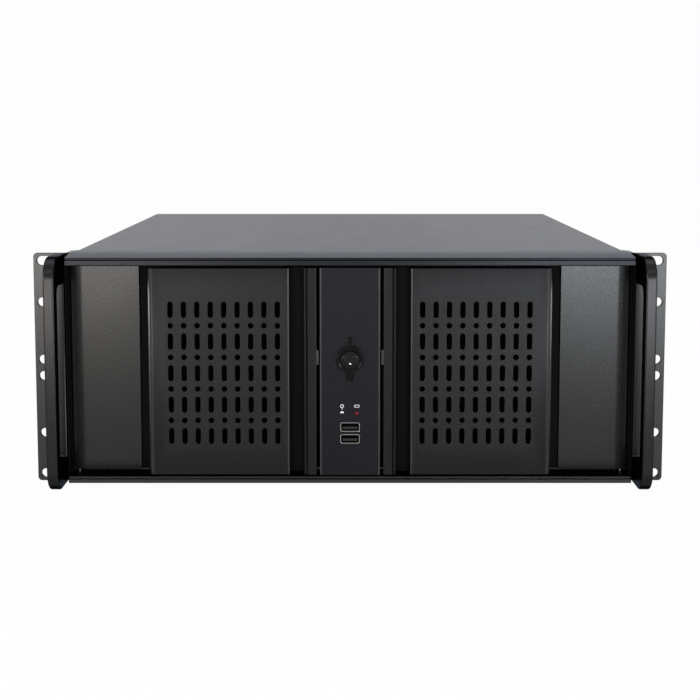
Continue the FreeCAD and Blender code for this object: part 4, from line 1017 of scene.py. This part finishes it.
leave()
place(sign, print_white, "case", "white_light")

# --- port board ----------------------------------------------------------------------
# A small green circuit board stands behind the plate. The ports and the lights are
# soldered to it.
circuit_board = coat("circuit_board", (0.012, 0.07, 0.03), rough=0.35, grain=600, shade=0.3,
                     bump=0.05, cloud=120)
dress(circuit_board, "front_board")

# --- bay covers, button housing and rear fans ----------------------------------------
# The vented covers of the drive bays, the housing of the two buttons, and the frames and
# rotors of the rear fans are moulded in matt black plastic.
black_plastic = coat("black_plastic", (0.022, 0.022, 0.023), rough=0.5, grain=800, shade=0.12,
                     bump=0.15)
dress(black_plastic, "button_housing", "left_bay_cover_1", "left_bay_cover_2", "left_bay_cover_3",
      "right_bay_cover_1", "right_bay_cover_2", "right_bay_cover_3",
      "left_fan_frame", "right_fan_frame", "left_fan_rotor", "right_fan_rotor")

# --- push buttons --------------------------------------------------------------------
# The large power button and the small reset button are smooth grey plastic and slide in
# their housing behind the right door.
button_plastic = coat("button_plastic", (0.09, 0.09, 0.095), rough=0.38, grain=900, shade=0.1,
                      bump=0.06)
dress(button_plastic, "power_button", "reset_button")

# --- standoffs -----------------------------------------------------------------------
# Nine turned brass standoffs are screwed into the floor, for a main board that is laid on
# them and screwed down.
standoff_brass = coat("standoff_brass", (0.55, 0.36, 0.12), rough=0.26, grain=900, shade=0.15,
                      bump=0.03, metal=1.0)
dress(standoff_brass, "standoffs")

# --- screws --------------------------------------------------------------------------
# Small black screws hold the lid and the ears' flanges to the walls. Steel ones hold each
# handle to its ear from behind.
screw_black = coat("screw_black", (0.02, 0.02, 0.021), rough=0.3, grain=1200, shade=0.2,
                   bump=0.06, level=0.4)
screw_steel = coat("screw_steel", (0.28, 0.28, 0.27), rough=0.32, grain=900, shade=0.1,
                   bump=0.03, metal=1.0)


def screw(name, seat, facing, radius, head):
    """A domed screw head with a round socket, which faces along an axis from its seat."""
    middle = Vector(seat)
    middle[facing] += head / 2
    piece = cylinder(name, middle, radius, head, facing, 24)
    rounding = head * 0.45
    edit("FACE")
    pick(lambda face: face.normal[facing] > 0.9)
    bpy.ops.mesh.bevel(offset=rounding, segments=4)
    pick(lambda face: face.normal[facing] > 0.9999)
    bpy.ops.mesh.inset(thickness=(radius - rounding) * 0.45, depth=0)
    bpy.ops.mesh.inset(thickness=0.0001, depth=-head * 0.5)
    leave()
    bpy.ops.object.shade_smooth_by_angle(angle=math.radians(40))
    return piece


lid_low, lid_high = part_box("top_cover")
ear_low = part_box("right_ear")[0]
handle_low, handle_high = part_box("right_handle")
handle_x = (handle_low.x + handle_high.x) / 2
heads = [screw("lid_screws_right", (lid_high.x, y, lid_low.z + 0.006), 0, 0.0029, 0.0007)
         for y in (0.08, 0.235, 0.39)]
heads += [screw("flange_screws", (ear_low.x + EAR_SHEET, 0.036, z), 0, 0.0033, 0.0018)
          for z in (0.025, 0.079, 0.133)]
heads = join(heads)
place(other_side(heads, "lid_screws_left"), screw_black, "case", "case_steel")
place(heads, screw_black, "case", "case_steel")
heads = join([screw("handle_screws_right", (handle_x, EAR_SHEET, z), 1, 0.003, 0.002)
              for z in (handle_low.z + FOOT_BAR / 2, handle_high.z - FOOT_BAR / 2)])
place(other_side(heads, "handle_screws_left"), screw_steel, "case", "screw_steel")
place(heads, screw_steel, "case", "screw_steel")
